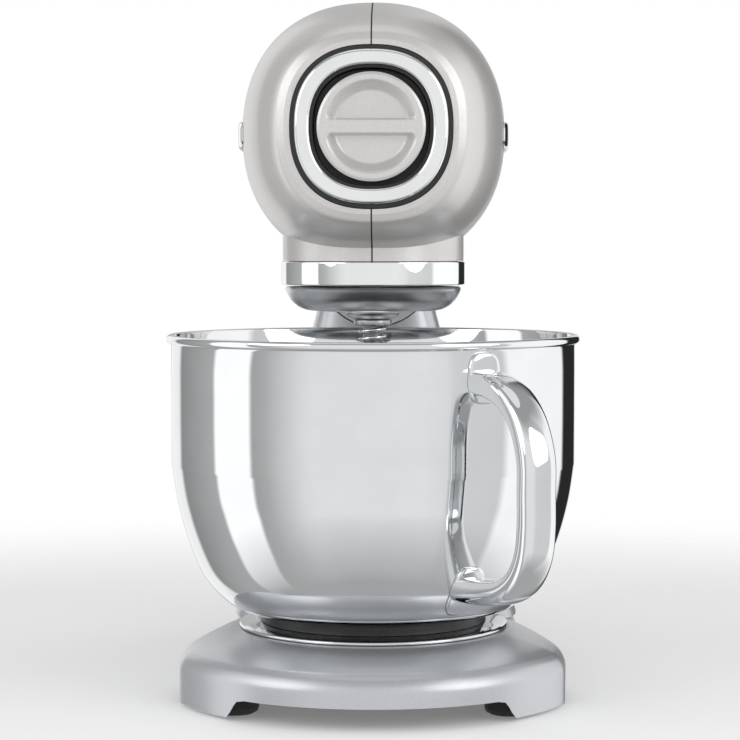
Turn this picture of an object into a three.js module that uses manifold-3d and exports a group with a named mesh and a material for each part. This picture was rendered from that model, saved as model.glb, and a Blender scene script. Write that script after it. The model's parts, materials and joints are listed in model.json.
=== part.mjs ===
// Tilt-head stand mixer with a 4.8 litre steel bowl.
// Millimetres, +Z up. The front, with the attachment hub, faces -Y. All sizes are measured from
// the bowl axis at x = 0, y = 0 and from the table at z = 0. The finished group is then moved
// along Y, so that the origin lies under the middle of the whole mixer.
import * as THREE from 'three';
import { mergeVertices } from 'three/addons/utils/BufferGeometryUtils.js';
import Module from 'manifold-3d';

const wasm = await Module();
wasm.setup();

// ---- driving dimensions ----

const GAP = 0.3; // between fixed neighbours
const RUNNING = 0.25; // radial play of a shaft in a bush
const FULL = Math.PI * 2;
const BOWL_FACETS = 32;
const PRESSURE_ANGLE = 20;

const bowlFoot = {
  waistShare: 0.5278, flangeReach: 15.1, flangeThickness: 1.2, height: 13.5, wall: 2,
  ringReach: 3.8, ringHeight: 5.4, lugReach: 4, lugThickness: 2.2, lugs: 3, lugSpan: 30,
};
const base = {
  frontRadius: 110, frontCut: 45, frontCutHalfWidth: 100.4, sideHalfWidth: 102.4,
  rearHalfWidth: 83, rearCorner: 46, rearStraight: 42,
  wall: 4, deckTop: 24.4, domeRise: 12.1, domeRadius: 100, shoulder: 16, cavityTop: 20,
  legBottom: 1.2, recessDepth: 7.5, seatLip: 3, seatPlay: 0.4,
  archHeight: 11.7, archHalfWidth: 66, archFlare: 7.6, archShoulder: 4, archMid: 6.5,
  sideArchFront: -30, sideArchLength: 178,
};
const foot = { radius: 12.5, top: 12.6, frontX: 70.5, frontY: -59, rearX: 61, fromRear: 30 };
const bottomPlate = { overFoot: 0.3, thickness: 2 };
const bowl = {
  radius: 108, wall: 1.5, height: 147.7, sideRise: 79.7, rimProud: 2.5, rimDepth: 4.3,
  rimRound: 1.2, aboveSeat: 8.8,
};
const lock = {
  rimWidth: 2, ringPlay: 0.7, belowSeat: 0.2, tabThickness: 2, notchSpan: 36, notchPlay: 0.6,
  restPast: 2,
};
const lockScrew = { inward: 3.1, headRadius: 2.2, headHeight: 0.6, threadRadius: 1.3, depth: 5 };
const handle = {
  angle: 31.4, width: 19, thickness: 13, reach: 45.9, padWidth: 18.5, padThickness: 1.8,
  upperPadBelowRim: 5.4, padHeight: 26, lowerPadRise: 7.7,
};
const head = {
  halfWidth: 71.2, centre: 300, wall: 3.1, seam: 0.8, front: -75, rear: 288, exponent: 2.22,
  tallness: 0.995,
};
const neck = { radius: 48.4, drop: 67.7, wall: 3, rootRise: 35.7, holeRise: 29.7 };
const neckRing = { proud: 0.7, wall: 3.7, height: 12.4 };
const keel = { radius: 33.7, drop: 5.3, behindBowl: 4.9, wall: 3, play: 0.7, swings: 3, rise: 35 };
const hinge = { behindKeel: 49.6, belowKeel: 15, pinRadius: 6, bushWall: 2.5, tilt: 50 };
const column = {
  bottomHalfWidth: 83, taper: 0.269, topHalfWidth: 34.9, wall: 4, depth: 98.6,
  overHinge: 4, cavityBelow: 34, rearSlopeBelow: 29, rearSlopeReach: 44,
};
const backCover = { halfWidth: 27, bottom: 52, top: 138, thickness: 2.4 };
const inlet = { bore: 7, z: 66, flange: 10, flangeThickness: 2.5, wire: 3.6, depth: 6 };
const hub = {
  opening: 41.3, bezelOuter: 38.7, bezelInner: 31, bezelFront: -80.5, surroundFront: -75.2,
  surroundDepth: 15, coverRadius: 27.5, coverFront: -79.5, coverDepth: 12, coverPlay: 2,
  barHalfHeight: 2.6, pocketDepth: 4.5, pocketHalfWidth: 21, pocketHeight: 18.4,
  squareness: 2.35,
};
const hubShaft = {
  radius: 9, front: -66, shoulder: -50, rear: -28.4, neckRadius: 6, socket: 9.4,
  socketDepth: 14,
};
const vent = { radius: 22, thickness: 4, slots: 3, slotWidth: 4, edge: 4 };
const trim = { length: 112, height: 15, proud: 2.5, centreY: 45, belowCentre: 0.5 };
const lever = {
  slotFrom: 88, slotTo: 152, slotHalfWidth: 3, plateHalfWidth: 10, plateBorder: 6,
  plateThickness: 6, knobRadius: 7.4, knobHeight: 6.8, stemLength: 8, stemPlay: 0.5,
  stemDepth: 24, restFrom: 9,
};
const board = { halfWidth: 24, length: 42, thickness: 1.8, belowStem: 3, clearance: 2 };
const gear = { module: 1.25, pinion: 12, wheel: 36, backlash: 0.4, face: 10 };
const ring = {
  module: 1.875, teeth: 36, planetTeeth: 12, outerRadius: 42, height: 9, aboveRingBottom: 2,
};
const bevel = { module: 2.1875, crown: 24, pinion: 12, toe: 0.72, backlash: 0.6, back: 5 };
const carrier = {
  radius: 47.1, flatRadius: 32.7, height: 12.7, play: 1.1, bossRadius: 14.3, bossDrop: 4,
};
const mainShaft = { radius: 7, inCarrier: 8.5, belowCentre: 16, bushWall: 3 };
const beater = {
  shaftRadius: 5, journalRadius: 6, collarRadius: 9.9, collarHeight: 3.1, length: 43.5,
  pinRise: 6, pinRadius: 1.6, pinLength: 18, coilRadius: 6.6, wire: 1.0, coilTurns: 5,
  coilHeight: 22.1,
};
const train = { bevelShaftFront: 17, stage2: 83, stage1: 104, shaftRadius: 4, overhang: 21 };
const motor = {
  stackFrom: 132, stackTo: 192, statorRadius: 40, armatureRadius: 24, airGap: 1,
  frontBracket: 120, rearBracket: 230, bracketDepth: 6, bracketHalfWidth: 44,
  fanRadius: 34, fanBlades: 6, fanHubRadius: 10, fanDepth: 10,
  commutatorRadius: 12, commutatorFrom: 205, commutatorTo: 222, brushPlay: 0.5, brushReach: 34,
  windingSlots: 6, slotDepth: 9,
};
const frame = {
  halfWidth: 26, thickness: 6, drop: 57, front: -44, wallFrontAt: -46, wallMidAt: 70,
  wallThickness: 5, wallRise: 26, armHalfWidth: 10.5, armBossRadius: 12.2, clearance: 0.8,
};
const latch = {
  behindKeel: 22.6, rodRadius: 4.2, intoKeel: 3.7, blockBelowTip: 27, blockHeight: 20,
  halfDepth: 6, halfWidth: 7, reach: 20,
};
const button = { radius: 10, out: 8, aboveBlock: 12, play: 0.5, halfWidth: 6, capLength: 25.5 };
const spring = { length: 31.4, turns: 4, radius: 4.6, wire: 0.8, shelf: 4 };

// ---- sizes that follow from them ----

const seatTop = base.deckTop + base.domeRise;
const waistRadius = bowl.radius * bowlFoot.waistShare;
const flangeRadius = waistRadius + bowlFoot.flangeReach;
const seatRadius = flangeRadius + base.seatPlay;
const recessRadius = seatRadius - base.seatLip;
const recessFloor = seatTop - base.recessDepth;
const bowlBottom = seatTop + bowl.aboveSeat;
const rimRadius = bowl.radius + bowl.rimProud;
const rimTop = bowlBottom + bowl.height;
const footTop = bowlBottom - GAP;
const footBottom = footTop - bowlFoot.height;
const footRingRadius = waistRadius + bowlFoot.ringReach;
const lockTop = seatTop - lock.belowSeat;
const lockOuter = recessRadius - GAP;
const lockInner = footRingRadius + lock.ringPlay;
const keelFront = rimRadius + keel.behindBowl;
const hingeY = keelFront + hinge.behindKeel;
const columnRearEnd = keelFront + column.depth;
const baseRear = columnRearEnd;
const neckBottom = head.centre - neck.drop;
const neckRingRadius = neck.radius + neckRing.proud;
const neckRingInner = neckRingRadius - neckRing.wall;
const neckRingTop = neckBottom - GAP;
const neckRingBottom = neckRingTop - neckRing.height;
const keelCentre = neckBottom - keel.drop;
const keelTop = keelCentre + keel.rise;
const hingeZ = keelCentre - hinge.belowKeel;
const bushRadius = hinge.pinRadius + hinge.bushWall;
const columnTop = hingeZ + column.overHinge;
const ringBottom = neckRingBottom + ring.aboveRingBottom;
const ringTop = ringBottom + ring.height;
const carrierTop = neckRingBottom - carrier.play;
const carrierBottom = carrierTop - carrier.height;
const bossBottom = carrierBottom - carrier.bossDrop;
const collarTop = bossBottom - GAP;
const collarBottom = collarTop - beater.collarHeight;
const beaterBottom = collarTop - beater.length;
const pinHeight = beaterBottom + beater.pinRise;
const mainShaftBottom = carrierTop - mainShaft.inCarrier;
const mainBore = mainShaft.radius + mainShaft.bushWall;
const planetOffset = (ring.teeth - ring.planetTeeth) * ring.module / 2;
const spurDistance = (gear.pinion + gear.wheel) * gear.module / 2;
const latchY = keelFront + latch.behindKeel;
const latchTip = keelCentre - keel.radius + latch.intoKeel;
const blockTop = latchTip - latch.blockBelowTip;
const blockBottom = blockTop - latch.blockHeight;
const blockEdge = latchY + latch.reach;
const buttonZ = blockBottom + button.aboveBlock;
const springTop = blockBottom - GAP;
const springBottom = springTop - spring.length;
const leverTop = head.centre + head.halfWidth - 0.4;

// ---- solids: helpers ----

const X = new THREE.Vector3(1, 0, 0);
const Y = new THREE.Vector3(0, 1, 0);
const Z = new THREE.Vector3(0, 0, 1);
const radians = THREE.MathUtils.degToRad;
const v2 = (x, y) => new THREE.Vector2(x, y);
const v3 = (x, y, z) => new THREE.Vector3(x, y, z);

// Turns a closed three.js geometry into a solid, with its faces pointing out.
function solid(geometry) {
  geometry.deleteAttribute('normal');
  geometry.deleteAttribute('uv');
  const merged = mergeVertices(geometry, 1e-4);
  const index = merged.index.array;
  const position = merged.attributes.position.array;
  const corner = (i) => v3(position[3 * i], position[3 * i + 1], position[3 * i + 2]);
  const faces = [];
  let volume = 0;
  for (let i = 0; i < index.length; i += 3) {
    const [a, b, c] = [index[i], index[i + 1], index[i + 2]];
    if (a === b || b === c || a === c) continue;
    faces.push([a, b, c]);
    volume += corner(a).dot(corner(b).cross(corner(c)));
  }
  const triVerts = faces.map(([a, b, c]) => (volume > 0 ? [a, b, c] : [a, c, b])).flat();
  return new wasm.Manifold(new wasm.Mesh({
    numProp: 3,
    vertProperties: Float32Array.from(position),
    triVerts: Uint32Array.from(triVerts),
  }));
}

// A body of revolution about Z from a profile of [radius, z] points that closes on itself.
function turned(profile, segments = 24) {
  const points = [...profile, profile[0]].map(([r, z]) => v2(r, z));
  return solid(new THREE.LatheGeometry(points, segments).rotateX(Math.PI / 2));
}

// The same, with its axis laid along Y: profile points are [radius, y].
function turnedAlongY(profile, segments = 24) {
  return turned(profile, segments).rotate([-90, 0, 0]);
}

function ringProfile(inner, outer, low, high) {
  return [[inner, low], [outer, low], [outer, high], [inner, high]];
}

function tube(inner, outer, low, high, segments = 24) {
  return turned(ringProfile(inner, outer, low, high), segments);
}

function tubeAlongY(inner, outer, low, high, segments = 24) {
  return turnedAlongY(ringProfile(inner, outer, low, high), segments);
}

// A round bar along one axis: centre gives the two other coordinates in X, Y, Z order.
function bar(axis, radius, low, high, centre = [0, 0], segments = 16) {
  const geometry = new THREE.CylinderGeometry(radius, radius, high - low, segments);
  const middle = (low + high) / 2;
  if (axis === 'x') geometry.rotateZ(Math.PI / 2).translate(middle, centre[0], centre[1]);
  if (axis === 'y') geometry.translate(centre[0], middle, centre[1]);
  if (axis === 'z') geometry.rotateX(Math.PI / 2).translate(centre[0], centre[1], middle);
  return solid(geometry);
}

function box(x0, x1, y0, y1, z0, z1) {
  const geometry = new THREE.BoxGeometry(x1 - x0, y1 - y0, z1 - z0);
  return solid(geometry.translate((x0 + x1) / 2, (y0 + y1) / 2, (z0 + z1) / 2));
}

function extruded(shape, low, high, curveSegments = 12) {
  const options = { depth: high - low, bevelEnabled: false, curveSegments };
  return new THREE.ExtrudeGeometry(shape, options).translate(0, 0, low);
}

// Shape in (x, y), raised along Z.
const prismZ = (shape, low, high, curve) => solid(extruded(shape, low, high, curve));

// Shape in (x, z), reaching along Y.
function prismY(shape, low, high, curve) {
  const basis = new THREE.Matrix4().makeBasis(X, Z, v3(0, -1, 0));
  return solid(extruded(shape, -high, -low, curve).applyMatrix4(basis));
}

// Shape in (y, z), reaching along X.
function prismX(shape, low, high, curve) {
  const basis = new THREE.Matrix4().makeBasis(Y, Z, X);
  return solid(extruded(shape, low, high, curve).applyMatrix4(basis));
}

const polygon = (points) => new THREE.Shape(points.map(([x, y]) => v2(x, y)));

function superellipse(halfWidth, halfHeight, exponent, count = 40) {
  const points = [];
  for (let i = 0; i < count; i += 1) {
    const angle = (i / count) * FULL;
    const c = Math.cos(angle);
    const s = Math.sin(angle);
    points.push(v2(
      halfWidth * Math.sign(c) * Math.abs(c) ** (2 / exponent),
      halfHeight * Math.sign(s) * Math.abs(s) ** (2 / exponent),
    ));
  }
  return points;
}

function shifted(points, x, y) {
  return new THREE.Shape(points.map((p) => v2(p.x + x, p.y + y)));
}

// A closed skin over rings that all have the same number of points, with a fan at each end.
function loft(rings) {
  const count = rings[0].length;
  const ends = [rings[0], rings[rings.length - 1]];
  const middles = ends.map((r) => r.reduce((sum, p) => sum.add(p), v3(0, 0, 0)).divideScalar(count));
  const positions = [...rings.flat(), ...middles].flatMap((p) => [p.x, p.y, p.z]);
  const index = [];
  const last = (rings.length - 1) * count;
  const first = rings.length * count;
  for (let i = 0; i < count; i += 1) {
    const next = (i + 1) % count;
    for (let r = 0; r < rings.length - 1; r += 1) {
      const a = r * count;
      index.push(a + i, a + next, a + count + next, a + i, a + count + next, a + count + i);
    }
    index.push(first, next, i, first + 1, last + i, last + next);
  }
  const geometry = new THREE.BufferGeometry();
  geometry.setAttribute('position', new THREE.Float32BufferAttribute(positions, 3));
  geometry.setIndex(index);
  return solid(geometry);
}

// Smooth value between the stations of a table of [place, value] rows.
function along(stations, place) {
  const clamped = THREE.MathUtils.clamp(place, stations[0][0], stations.at(-1)[0]);
  let k = 0;
  while (k < stations.length - 2 && stations[k + 1][0] < clamped) k += 1;
  const [start, low] = stations[k];
  const [end, high] = stations[k + 1];
  const [placeBefore, before] = stations[Math.max(k - 1, 0)];
  const [placeAfter, after] = stations[Math.min(k + 2, stations.length - 1)];
  const span = end - start;
  const chord = (high - low) / span;
  const slopeIn = k > 0 ? (high - before) / (end - placeBefore) : chord;
  const slopeOut = k < stations.length - 2 ? (after - low) / (placeAfter - start) : chord;
  const t = (clamped - start) / span;
  return low * (1 + 2 * t) * (1 - t) ** 2 + slopeIn * span * t * (1 - t) ** 2
    + high * t * t * (3 - 2 * t) + slopeOut * span * t * t * (t - 1);
}

// ---- gears ----

const involute = (angle) => Math.tan(angle) - angle;

// Half the angle that an involute tooth covers at one radius.
function toothHalfAngle(radius, teeth, module, backlash) {
  const pitch = teeth * module / 2;
  const baseRadius = pitch * Math.cos(radians(PRESSURE_ANGLE));
  const pressure = Math.acos(Math.min(1, baseRadius / Math.max(radius, baseRadius)));
  const atPitch = Math.PI / (2 * teeth) - backlash / (2 * pitch);
  return atPitch + involute(radians(PRESSURE_ANGLE)) - involute(pressure);
}

// Outline of a toothed wheel. A tooth is centred on local +X, turned on by phase.
function gearOutline(teeth, module, { backlash, addendum = 1, dedendum = 1.2, phase = 0 }) {
  const pitch = teeth * module / 2;
  const radii = [pitch - dedendum * module, pitch, pitch + addendum * module];
  if (teeth > 24) radii.splice(1, 1);
  const points = [];
  for (let tooth = 0; tooth < teeth; tooth += 1) {
    const centre = (tooth / teeth) * FULL + phase;
    for (const side of [-1, 1]) {
      for (const radius of side < 0 ? radii : [...radii].reverse()) {
        const angle = centre + side * toothHalfAngle(radius, teeth, module, backlash);
        points.push(v2(radius * Math.cos(angle), radius * Math.sin(angle)));
      }
    }
  }
  return points;
}

// Spur gear with its axis along Y, on the line through x and z, with a bore for its shaft.
function spurGear(teeth, y0, y1, x, z, bore, phase = 0) {
  const outline = gearOutline(teeth, gear.module, { backlash: gear.backlash / 2, phase });
  const body = prismY(shifted(outline, x, z), y0, y1);
  return body.subtract(bar('y', bore, y0 - 1, y1 + 1, [x, z]));
}

// Straight bevel gear with its axis along Z and the apex of its pitch cone at the origin, the
// teeth below the apex. Local +X lies on a tooth, turned on by phase.
function bevelGear(teeth, mateTeeth, bore, phase = 0) {
  const pitch = teeth * bevel.module / 2;
  const matePitch = mateTeeth * bevel.module / 2;
  const cone = Math.hypot(pitch, matePitch);
  const [cos, sin] = [matePitch / cone, pitch / cone];
  const halfTooth = Math.PI / (2 * teeth) - bevel.backlash / (4 * pitch);
  const slope = Math.tan(radians(PRESSURE_ANGLE)) * bevel.module / pitch;
  const heel = [];
  for (let tooth = 0; tooth < teeth; tooth += 1) {
    const centre = (tooth / teeth) * FULL + phase;
    for (const [height, side] of [[-1.2, -1], [0.95, -1], [0.95, 1], [-1.2, 1]]) {
      const radius = pitch + height * bevel.module * cos;
      const depth = matePitch - height * bevel.module * sin;
      const angle = centre + side * (halfTooth - height * slope);
      heel.push(v3(radius * Math.cos(angle), radius * Math.sin(angle), -depth));
    }
  }
  const toe = heel.map((p) => p.clone().multiplyScalar(bevel.toe));
  const rootRadius = pitch - 1.2 * bevel.module * cos;
  const backZ = -(matePitch + 1.2 * bevel.module * sin) - bevel.back;
  const back = heel.map((p) => v3(p.x, p.y, 0).setLength(rootRadius * 0.94).setZ(backZ));
  return loft([back, heel, toe]).subtract(bar('z', bore, -100, 100));
}

// ---- base, feet and bowl lock ----

// Where the base's side runs, as rows of [y, share of the way from the rear width to the widest].
const baseSide = [[-18, 1], [0, 0.876], [30, 0.464], [60, 0.052]];
const rearStraightFrom = 78;

// The base's plan outline, as points about the bowl axis, moved in by inset.
function baseOutline(inset = 0) {
  const frontAngle = Math.acos(base.frontCut / base.frontRadius);
  const half = [];
  for (let i = 0; i <= 7; i += 1) {
    const angle = (i / 7) * frontAngle;
    half.push(v2(base.frontRadius * Math.sin(angle), -base.frontRadius * Math.cos(angle)));
  }
  const extra = base.sideHalfWidth - base.rearHalfWidth;
  baseSide.forEach(([y, share]) => half.push(v2(base.rearHalfWidth + share * extra, y)));
  half.push(v2(base.rearHalfWidth, rearStraightFrom));
  half.push(v2(base.rearHalfWidth, rearStraightFrom + base.rearStraight));
  const corner = v2(base.rearHalfWidth - base.rearCorner, baseRear - base.rearCorner);
  for (let i = 0; i <= 4; i += 1) {
    const angle = (i / 4) * (Math.PI / 2);
    half.push(v2(
      corner.x + base.rearCorner * Math.cos(angle),
      corner.y + base.rearCorner * Math.sin(angle),
    ));
  }
  const mirrored = half.slice(1).reverse().map((p) => v2(-p.x, p.y));
  return [...half, ...mirrored].map((p) => p.clone().setLength(p.length() - inset));
}

function makeBase() {
  const outline = baseOutline();
  const at = (radius, z) => outline.map((p) => {
    const q = p.clone().setLength(radius(p.length()));
    return v3(q.x, q.y, z);
  });
  const edge = [
    [0.8, base.legBottom], [0, 13], [1, 17.5], [4, 21.8], [9, 23.8], [base.shoulder, base.deckTop],
  ].map(([inset, z]) => at((r) => r - inset, z));
  const dome = [[1, 0.02], [0.7, 0.26], [0.36, 0.72], [0.14, 0.94], [0, 1]]
    .map(([share, lift]) => at(
      (r) => seatRadius
        + share * (Math.min(r - base.shoulder, base.domeRadius) - seatRadius) * 0.999,
      base.deckTop + lift * base.domeRise,
    ));
  let body = loft([...edge, ...dome]);
  body = body.subtract(prismZ(new THREE.Shape(baseOutline(base.wall)), -5, base.cavityTop));
  body = body.subtract(bar('z', recessRadius, recessFloor, 60, [0, 0], 32));
  return body.subtract(makeArches());
}

// The openings under the base between its four legs, with soft shoulders.
function makeArches() {
  const profile = (from, to) => polygon([
    [from - base.archFlare, -5], [from - base.archFlare, base.legBottom + 0.6],
    [from - base.archShoulder, base.archMid], [from, base.archHeight],
    [to, base.archHeight], [to + base.archShoulder, base.archMid],
    [to + base.archFlare, base.legBottom + 0.6], [to + base.archFlare, -5],
  ]);
  const across = prismY(profile(-base.archHalfWidth, base.archHalfWidth), -200, 300);
  const between = prismX(
    profile(base.sideArchFront, base.sideArchFront + base.sideArchLength), -200, 200,
  );
  return across.add(between);
}

function makeFoot(x, y) {
  const { radius, top } = foot;
  const profile = [[0, 0], [radius - 1.5, 0], [radius, 1.5], [radius - 1, top], [0, top]];
  return turned(profile, 16).translate([x, y, 0]);
}

function makeBottomPlate() {
  const shape = new THREE.Shape(baseOutline(base.wall + 2 * GAP));
  const bottom = foot.top + bottomPlate.overFoot;
  return prismZ(shape, bottom, bottom + bottomPlate.thickness);
}

// Angular sector of a ring about Z, used for lugs, tabs and notches.
function sector(inner, outer, low, high, middle, span, steps = 3) {
  const arc = (radius, reverse) => Array.from({ length: steps + 1 }, (_, i) => {
    const share = (reverse ? steps - i : i) / steps - 0.5;
    const angle = radians(middle + span * share);
    return [radius * Math.cos(angle), radius * Math.sin(angle)];
  });
  return prismZ(polygon([...arc(outer, false), ...arc(inner, true)]), low, high);
}

const lugAngle = (k) => -90 + k * (360 / bowlFoot.lugs);
const notchOffset = -(lock.notchSpan + bowlFoot.lugSpan) / 2 - lock.restPast;
const screwCircle = lockOuter - lockScrew.inward;
const screwSink = 0.2;

function makeLockPlate() {
  const { tabThickness, notchSpan, rimWidth, notchPlay } = lock;
  let plate = turned([
    [lockInner, lockTop - tabThickness], [lockInner, lockTop], [lockOuter, lockTop],
    [lockOuter, recessFloor + GAP], [lockOuter - rimWidth, recessFloor + GAP],
    [lockOuter - rimWidth, lockTop - tabThickness],
  ], 32);
  for (let k = 0; k < bowlFoot.lugs; k += 1) {
    const middle = lugAngle(k) - notchOffset;
    plate = plate.subtract(sector(
      lockInner - 1, lockInner + bowlFoot.lugReach + notchPlay, lockTop - 4, lockTop + 1,
      middle, notchSpan,
    ));
    const [x, y] = lockScrewPlace(k);
    const hole = (radius, depth) => bar(
      'z', radius + GAP, lockTop - depth - GAP, lockTop + 1, [x, y], 8,
    );
    plate = plate.subtract(hole(lockScrew.threadRadius, lockScrew.depth + screwSink));
    plate = plate.subtract(hole(lockScrew.headRadius, lockScrew.headHeight + screwSink));
  }
  return plate;
}

function lockScrewPlace(k) {
  const angle = radians(lugAngle(k));
  return [screwCircle * Math.cos(angle), screwCircle * Math.sin(angle)];
}

function makeLockScrew(k) {
  const [x, y] = lockScrewPlace(k);
  const { headRadius, headHeight, threadRadius, depth } = lockScrew;
  const top = lockTop - screwSink;
  const profile = [
    [0, top - depth], [threadRadius, top - depth], [threadRadius, top - headHeight],
    [headRadius, top - headHeight], [headRadius, top], [0, top],
  ];
  return turned(profile, 8).translate([x, y, 0]);
}

// ---- bowl ----

// The bowl's side, from the edge of its flat bottom to the rim, moved out by offset.
function bowlSide(offset = 0) {
  const turnRadius = waistRadius + 16.5;
  const shares = [[0, 0.028], [0.275, 0.115], [0.536, 0.26], [0.757, 0.494], [0.913, 0.749], [1, 1]];
  const wallPoints = [
    [waistRadius + 5, bowlBottom],
    ...shares.map(([out, up]) => [
      turnRadius + out * (bowl.radius - turnRadius), bowlBottom + up * bowl.sideRise,
    ]),
  ];
  const last = wallPoints.length - 1;
  return wallPoints.map(([r, z], i) => {
    const before = wallPoints[Math.max(i - 1, 0)];
    const after = wallPoints[Math.min(i + 1, last)];
    const normal = v2(after[1] - before[1], before[0] - after[0]).normalize();
    if (i === 0) normal.set(0, -1);
    if (i === last) normal.set(1, 0);
    return [r + normal.x * offset, z + normal.y * offset];
  });
}

function makeBowl() {
  const outer = bowlSide();
  const inner = bowlSide(-bowl.wall).reverse();
  const { radius, wall, rimRound } = bowl;
  const rimBottom = rimTop - bowl.rimDepth;
  return turned([
    [0, bowlBottom], ...outer, [radius, rimBottom], [rimRadius - rimRound / 2, rimBottom],
    [rimRadius, rimBottom + rimRound], [rimRadius, rimTop - rimRound],
    [rimRadius - rimRound, rimTop], [radius - wall / 2, rimTop],
    [radius - wall, rimTop - rimRound], ...inner, [0, bowlBottom + wall],
  ], BOWL_FACETS);
}

// The bowl's outer body, used to cut and trim what is fixed to its wall.
function bowlBody(offset) {
  const points = bowlSide(offset);
  const top = rimTop + 2;
  return turned([[0, points[0][1]], ...points, [bowl.radius + offset, top], [0, top]],
    BOWL_FACETS);
}

function makeBowlFoot() {
  const { wall, ringHeight, flangeThickness } = bowlFoot;
  const flangeBottom = footBottom + ringHeight;
  const flangeTop = flangeBottom + flangeThickness;
  const flare = [[0.6, 0.13], [0.3, 0.42], [0.086, 0.74]].map(([out, up]) => [
    waistRadius + out * bowlFoot.flangeReach, flangeTop + up * (footTop - flangeTop),
  ]);
  let body = turned([
    [waistRadius - wall, footTop], [waistRadius - wall, footBottom],
    [footRingRadius, footBottom], [footRingRadius, flangeBottom],
    [flangeRadius, flangeBottom], [flangeRadius, flangeTop], ...flare, [waistRadius, footTop],
  ], BOWL_FACETS);
  for (let k = 0; k < bowlFoot.lugs; k += 1) {
    body = body.add(sector(
      footRingRadius - 1, footRingRadius + bowlFoot.lugReach, footBottom,
      footBottom + bowlFoot.lugThickness, lugAngle(k), bowlFoot.lugSpan,
    ));
  }
  return body;
}

// The handle's centre line in its own upright plane: points are [distance from the axis, z].
function handleCentreLine() {
  const reach = bowl.radius + handle.reach;
  const above = rimTop - 20.4;
  const below = bowlBottom + 21.7;
  const height = above - below;
  const down = [[18, 0.072], [7, 0.176], [0.5, 0.328], [0, 0.498], [0, 0.65], [2.5, 0.782],
    [10, 0.89], [22, 0.956]];
  return new THREE.CatmullRomCurve3([
    [bowl.radius - 10, above], [bowl.radius + 2, above - 0.2], [bowl.radius + 14, above - 2],
    ...down.map(([back, share]) => [reach - back, above - share * height]),
    [bowl.radius + 8, below + 1.6], [bowl.radius - 8, below + 0.4], [bowl.radius - 24, below],
  ].map(([r, z]) => v3(r, 0, z)));
}

function makeHandle() {
  const curve = handleCentreLine();
  const steps = 20;
  const section = superellipse(handle.width / 2, handle.thickness / 2, 3.2, 12);
  const rings = [];
  for (let i = 0; i <= steps; i += 1) {
    const point = curve.getPointAt(i / steps);
    const tangent = curve.getTangentAt(i / steps);
    const outward = v3(-tangent.z, 0, tangent.x);
    rings.push(section.map((p) => point.clone().addScaledVector(Y, p.x)
      .addScaledVector(outward, p.y)));
  }
  const tab = (low) => prismX(
    shifted(superellipse(handle.padWidth / 2, handle.padHeight / 2, 3.4, 16), 0,
      low + handle.padHeight / 2),
    waistRadius, rimRadius + 20,
  );
  const turn = [0, 0, handle.angle - 90];
  const pads = tab(rimTop - handle.upperPadBelowRim - handle.padHeight)
    .add(tab(bowlBottom + handle.lowerPadRise))
    .rotate(turn)
    .intersect(bowlBody(GAP + handle.padThickness));
  return loft(rings).rotate(turn).add(pads).subtract(bowlBody(GAP));
}

// ---- column and hinge ----

const columnFoot = base.deckTop + GAP;
const columnRise = columnTop - columnFoot;

// Rows of [share of the column's height, distance in front of the keel or behind it].
const columnFront = [[0, 36.4], [0.043, 31.4], [0.185, 17.4], [0.446, 4.9], [0.707, 0.8],
  [0.864, 0.4]].map(([share, forward]) => [columnFoot + share * columnRise, keelFront - forward]);
const columnRear = [[0, 1], [0.446, 3], [0.864, 6.5]]
  .map(([share, inward]) => [columnFoot + share * columnRise, columnRearEnd - inward]);
const columnHalfWidth = (z) => Math.max(
  column.bottomHalfWidth - column.taper * (z - columnFoot), column.topHalfWidth,
);

function columnSolid(inset, levels) {
  return loft(levels.map((z) => {
    const front = along(columnFront, z) + inset;
    const rear = along(columnRear, z) - inset;
    const halfDepth = (rear - front) / 2;
    const points = superellipse(columnHalfWidth(z) - inset, halfDepth, 5, 24);
    return points.map((p) => v3(p.x, p.y + (front + rear) / 2, z));
  }));
}

// The trough that the head's keel lies in: round below, with straight sides, reaching along Y.
function trough(radius, from, to, top) {
  const count = 14;
  const points = [[radius, top]];
  for (let i = 0; i <= count; i += 1) {
    const angle = -(i / count) * Math.PI;
    points.push([radius * Math.cos(angle), keelCentre + radius * Math.sin(angle)]);
  }
  points.push([-radius, top]);
  return prismY(polygon(points), from, to);
}

// The trough's room, with play all round the keel.
const keelRoom = () => trough(keel.radius + keel.play, rimRadius - 50, columnRearEnd + 46, 320);

// The top slopes down behind the hinge, so that the tilting head passes over it.
function rearSlope() {
  const { rearSlopeReach, rearSlopeBelow } = column;
  const above = columnTop + 20;
  return prismX(polygon([
    [hingeY + 6, above], [hingeY + 6, hingeZ + 6], [hingeY + 24, hingeZ - 9],
    [hingeY + rearSlopeReach, columnTop - rearSlopeBelow - 2],
    [hingeY + 95, columnTop - rearSlopeBelow - 4], [hingeY + 95, above],
  ]), -80, 80);
}

function makeColumn(baseBody) {
  const levels = [0, 0.043, 0.185, 0.315, 0.446, 0.655, 0.864, 0.932, 1];
  const cavityTop = columnTop - column.cavityBelow;
  const at = (share) => columnFoot + share * columnRise;
  let hollow = columnSolid(column.wall, [...[0, 0.185, 0.446].map(at), cavityTop]);
  hollow = hollow.add(columnSolid(column.wall, [columnFoot, columnFoot + 5.3])
    .translate([0, 0, -4]));
  // A shelf inside the front wall carries the latch spring.
  const shelf = box(-12, 12, keelFront - 15, latchY + 9, springBottom - spring.shelf - GAP,
    springBottom - GAP);
  return columnSolid(0, levels.map(at)).subtract(hollow.subtract(shelf))
    .subtract(keelRoom())
    .subtract(rearSlope())
    .subtract(bar('x', bushRadius + GAP, -60, 60, [hingeY, hingeZ]))
    .subtract(bar('z', latch.rodRadius + 0.4, blockBottom, latchTip + 30, [0, latchY]))
    .subtract(bar('y', button.radius + button.play, columnRearEnd - 24, columnRearEnd + 16,
      [0, buttonZ]))
    .subtract(backCoverPrism(GAP))
    .subtract(baseBody.translate([0, 0, GAP]));
}

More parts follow.
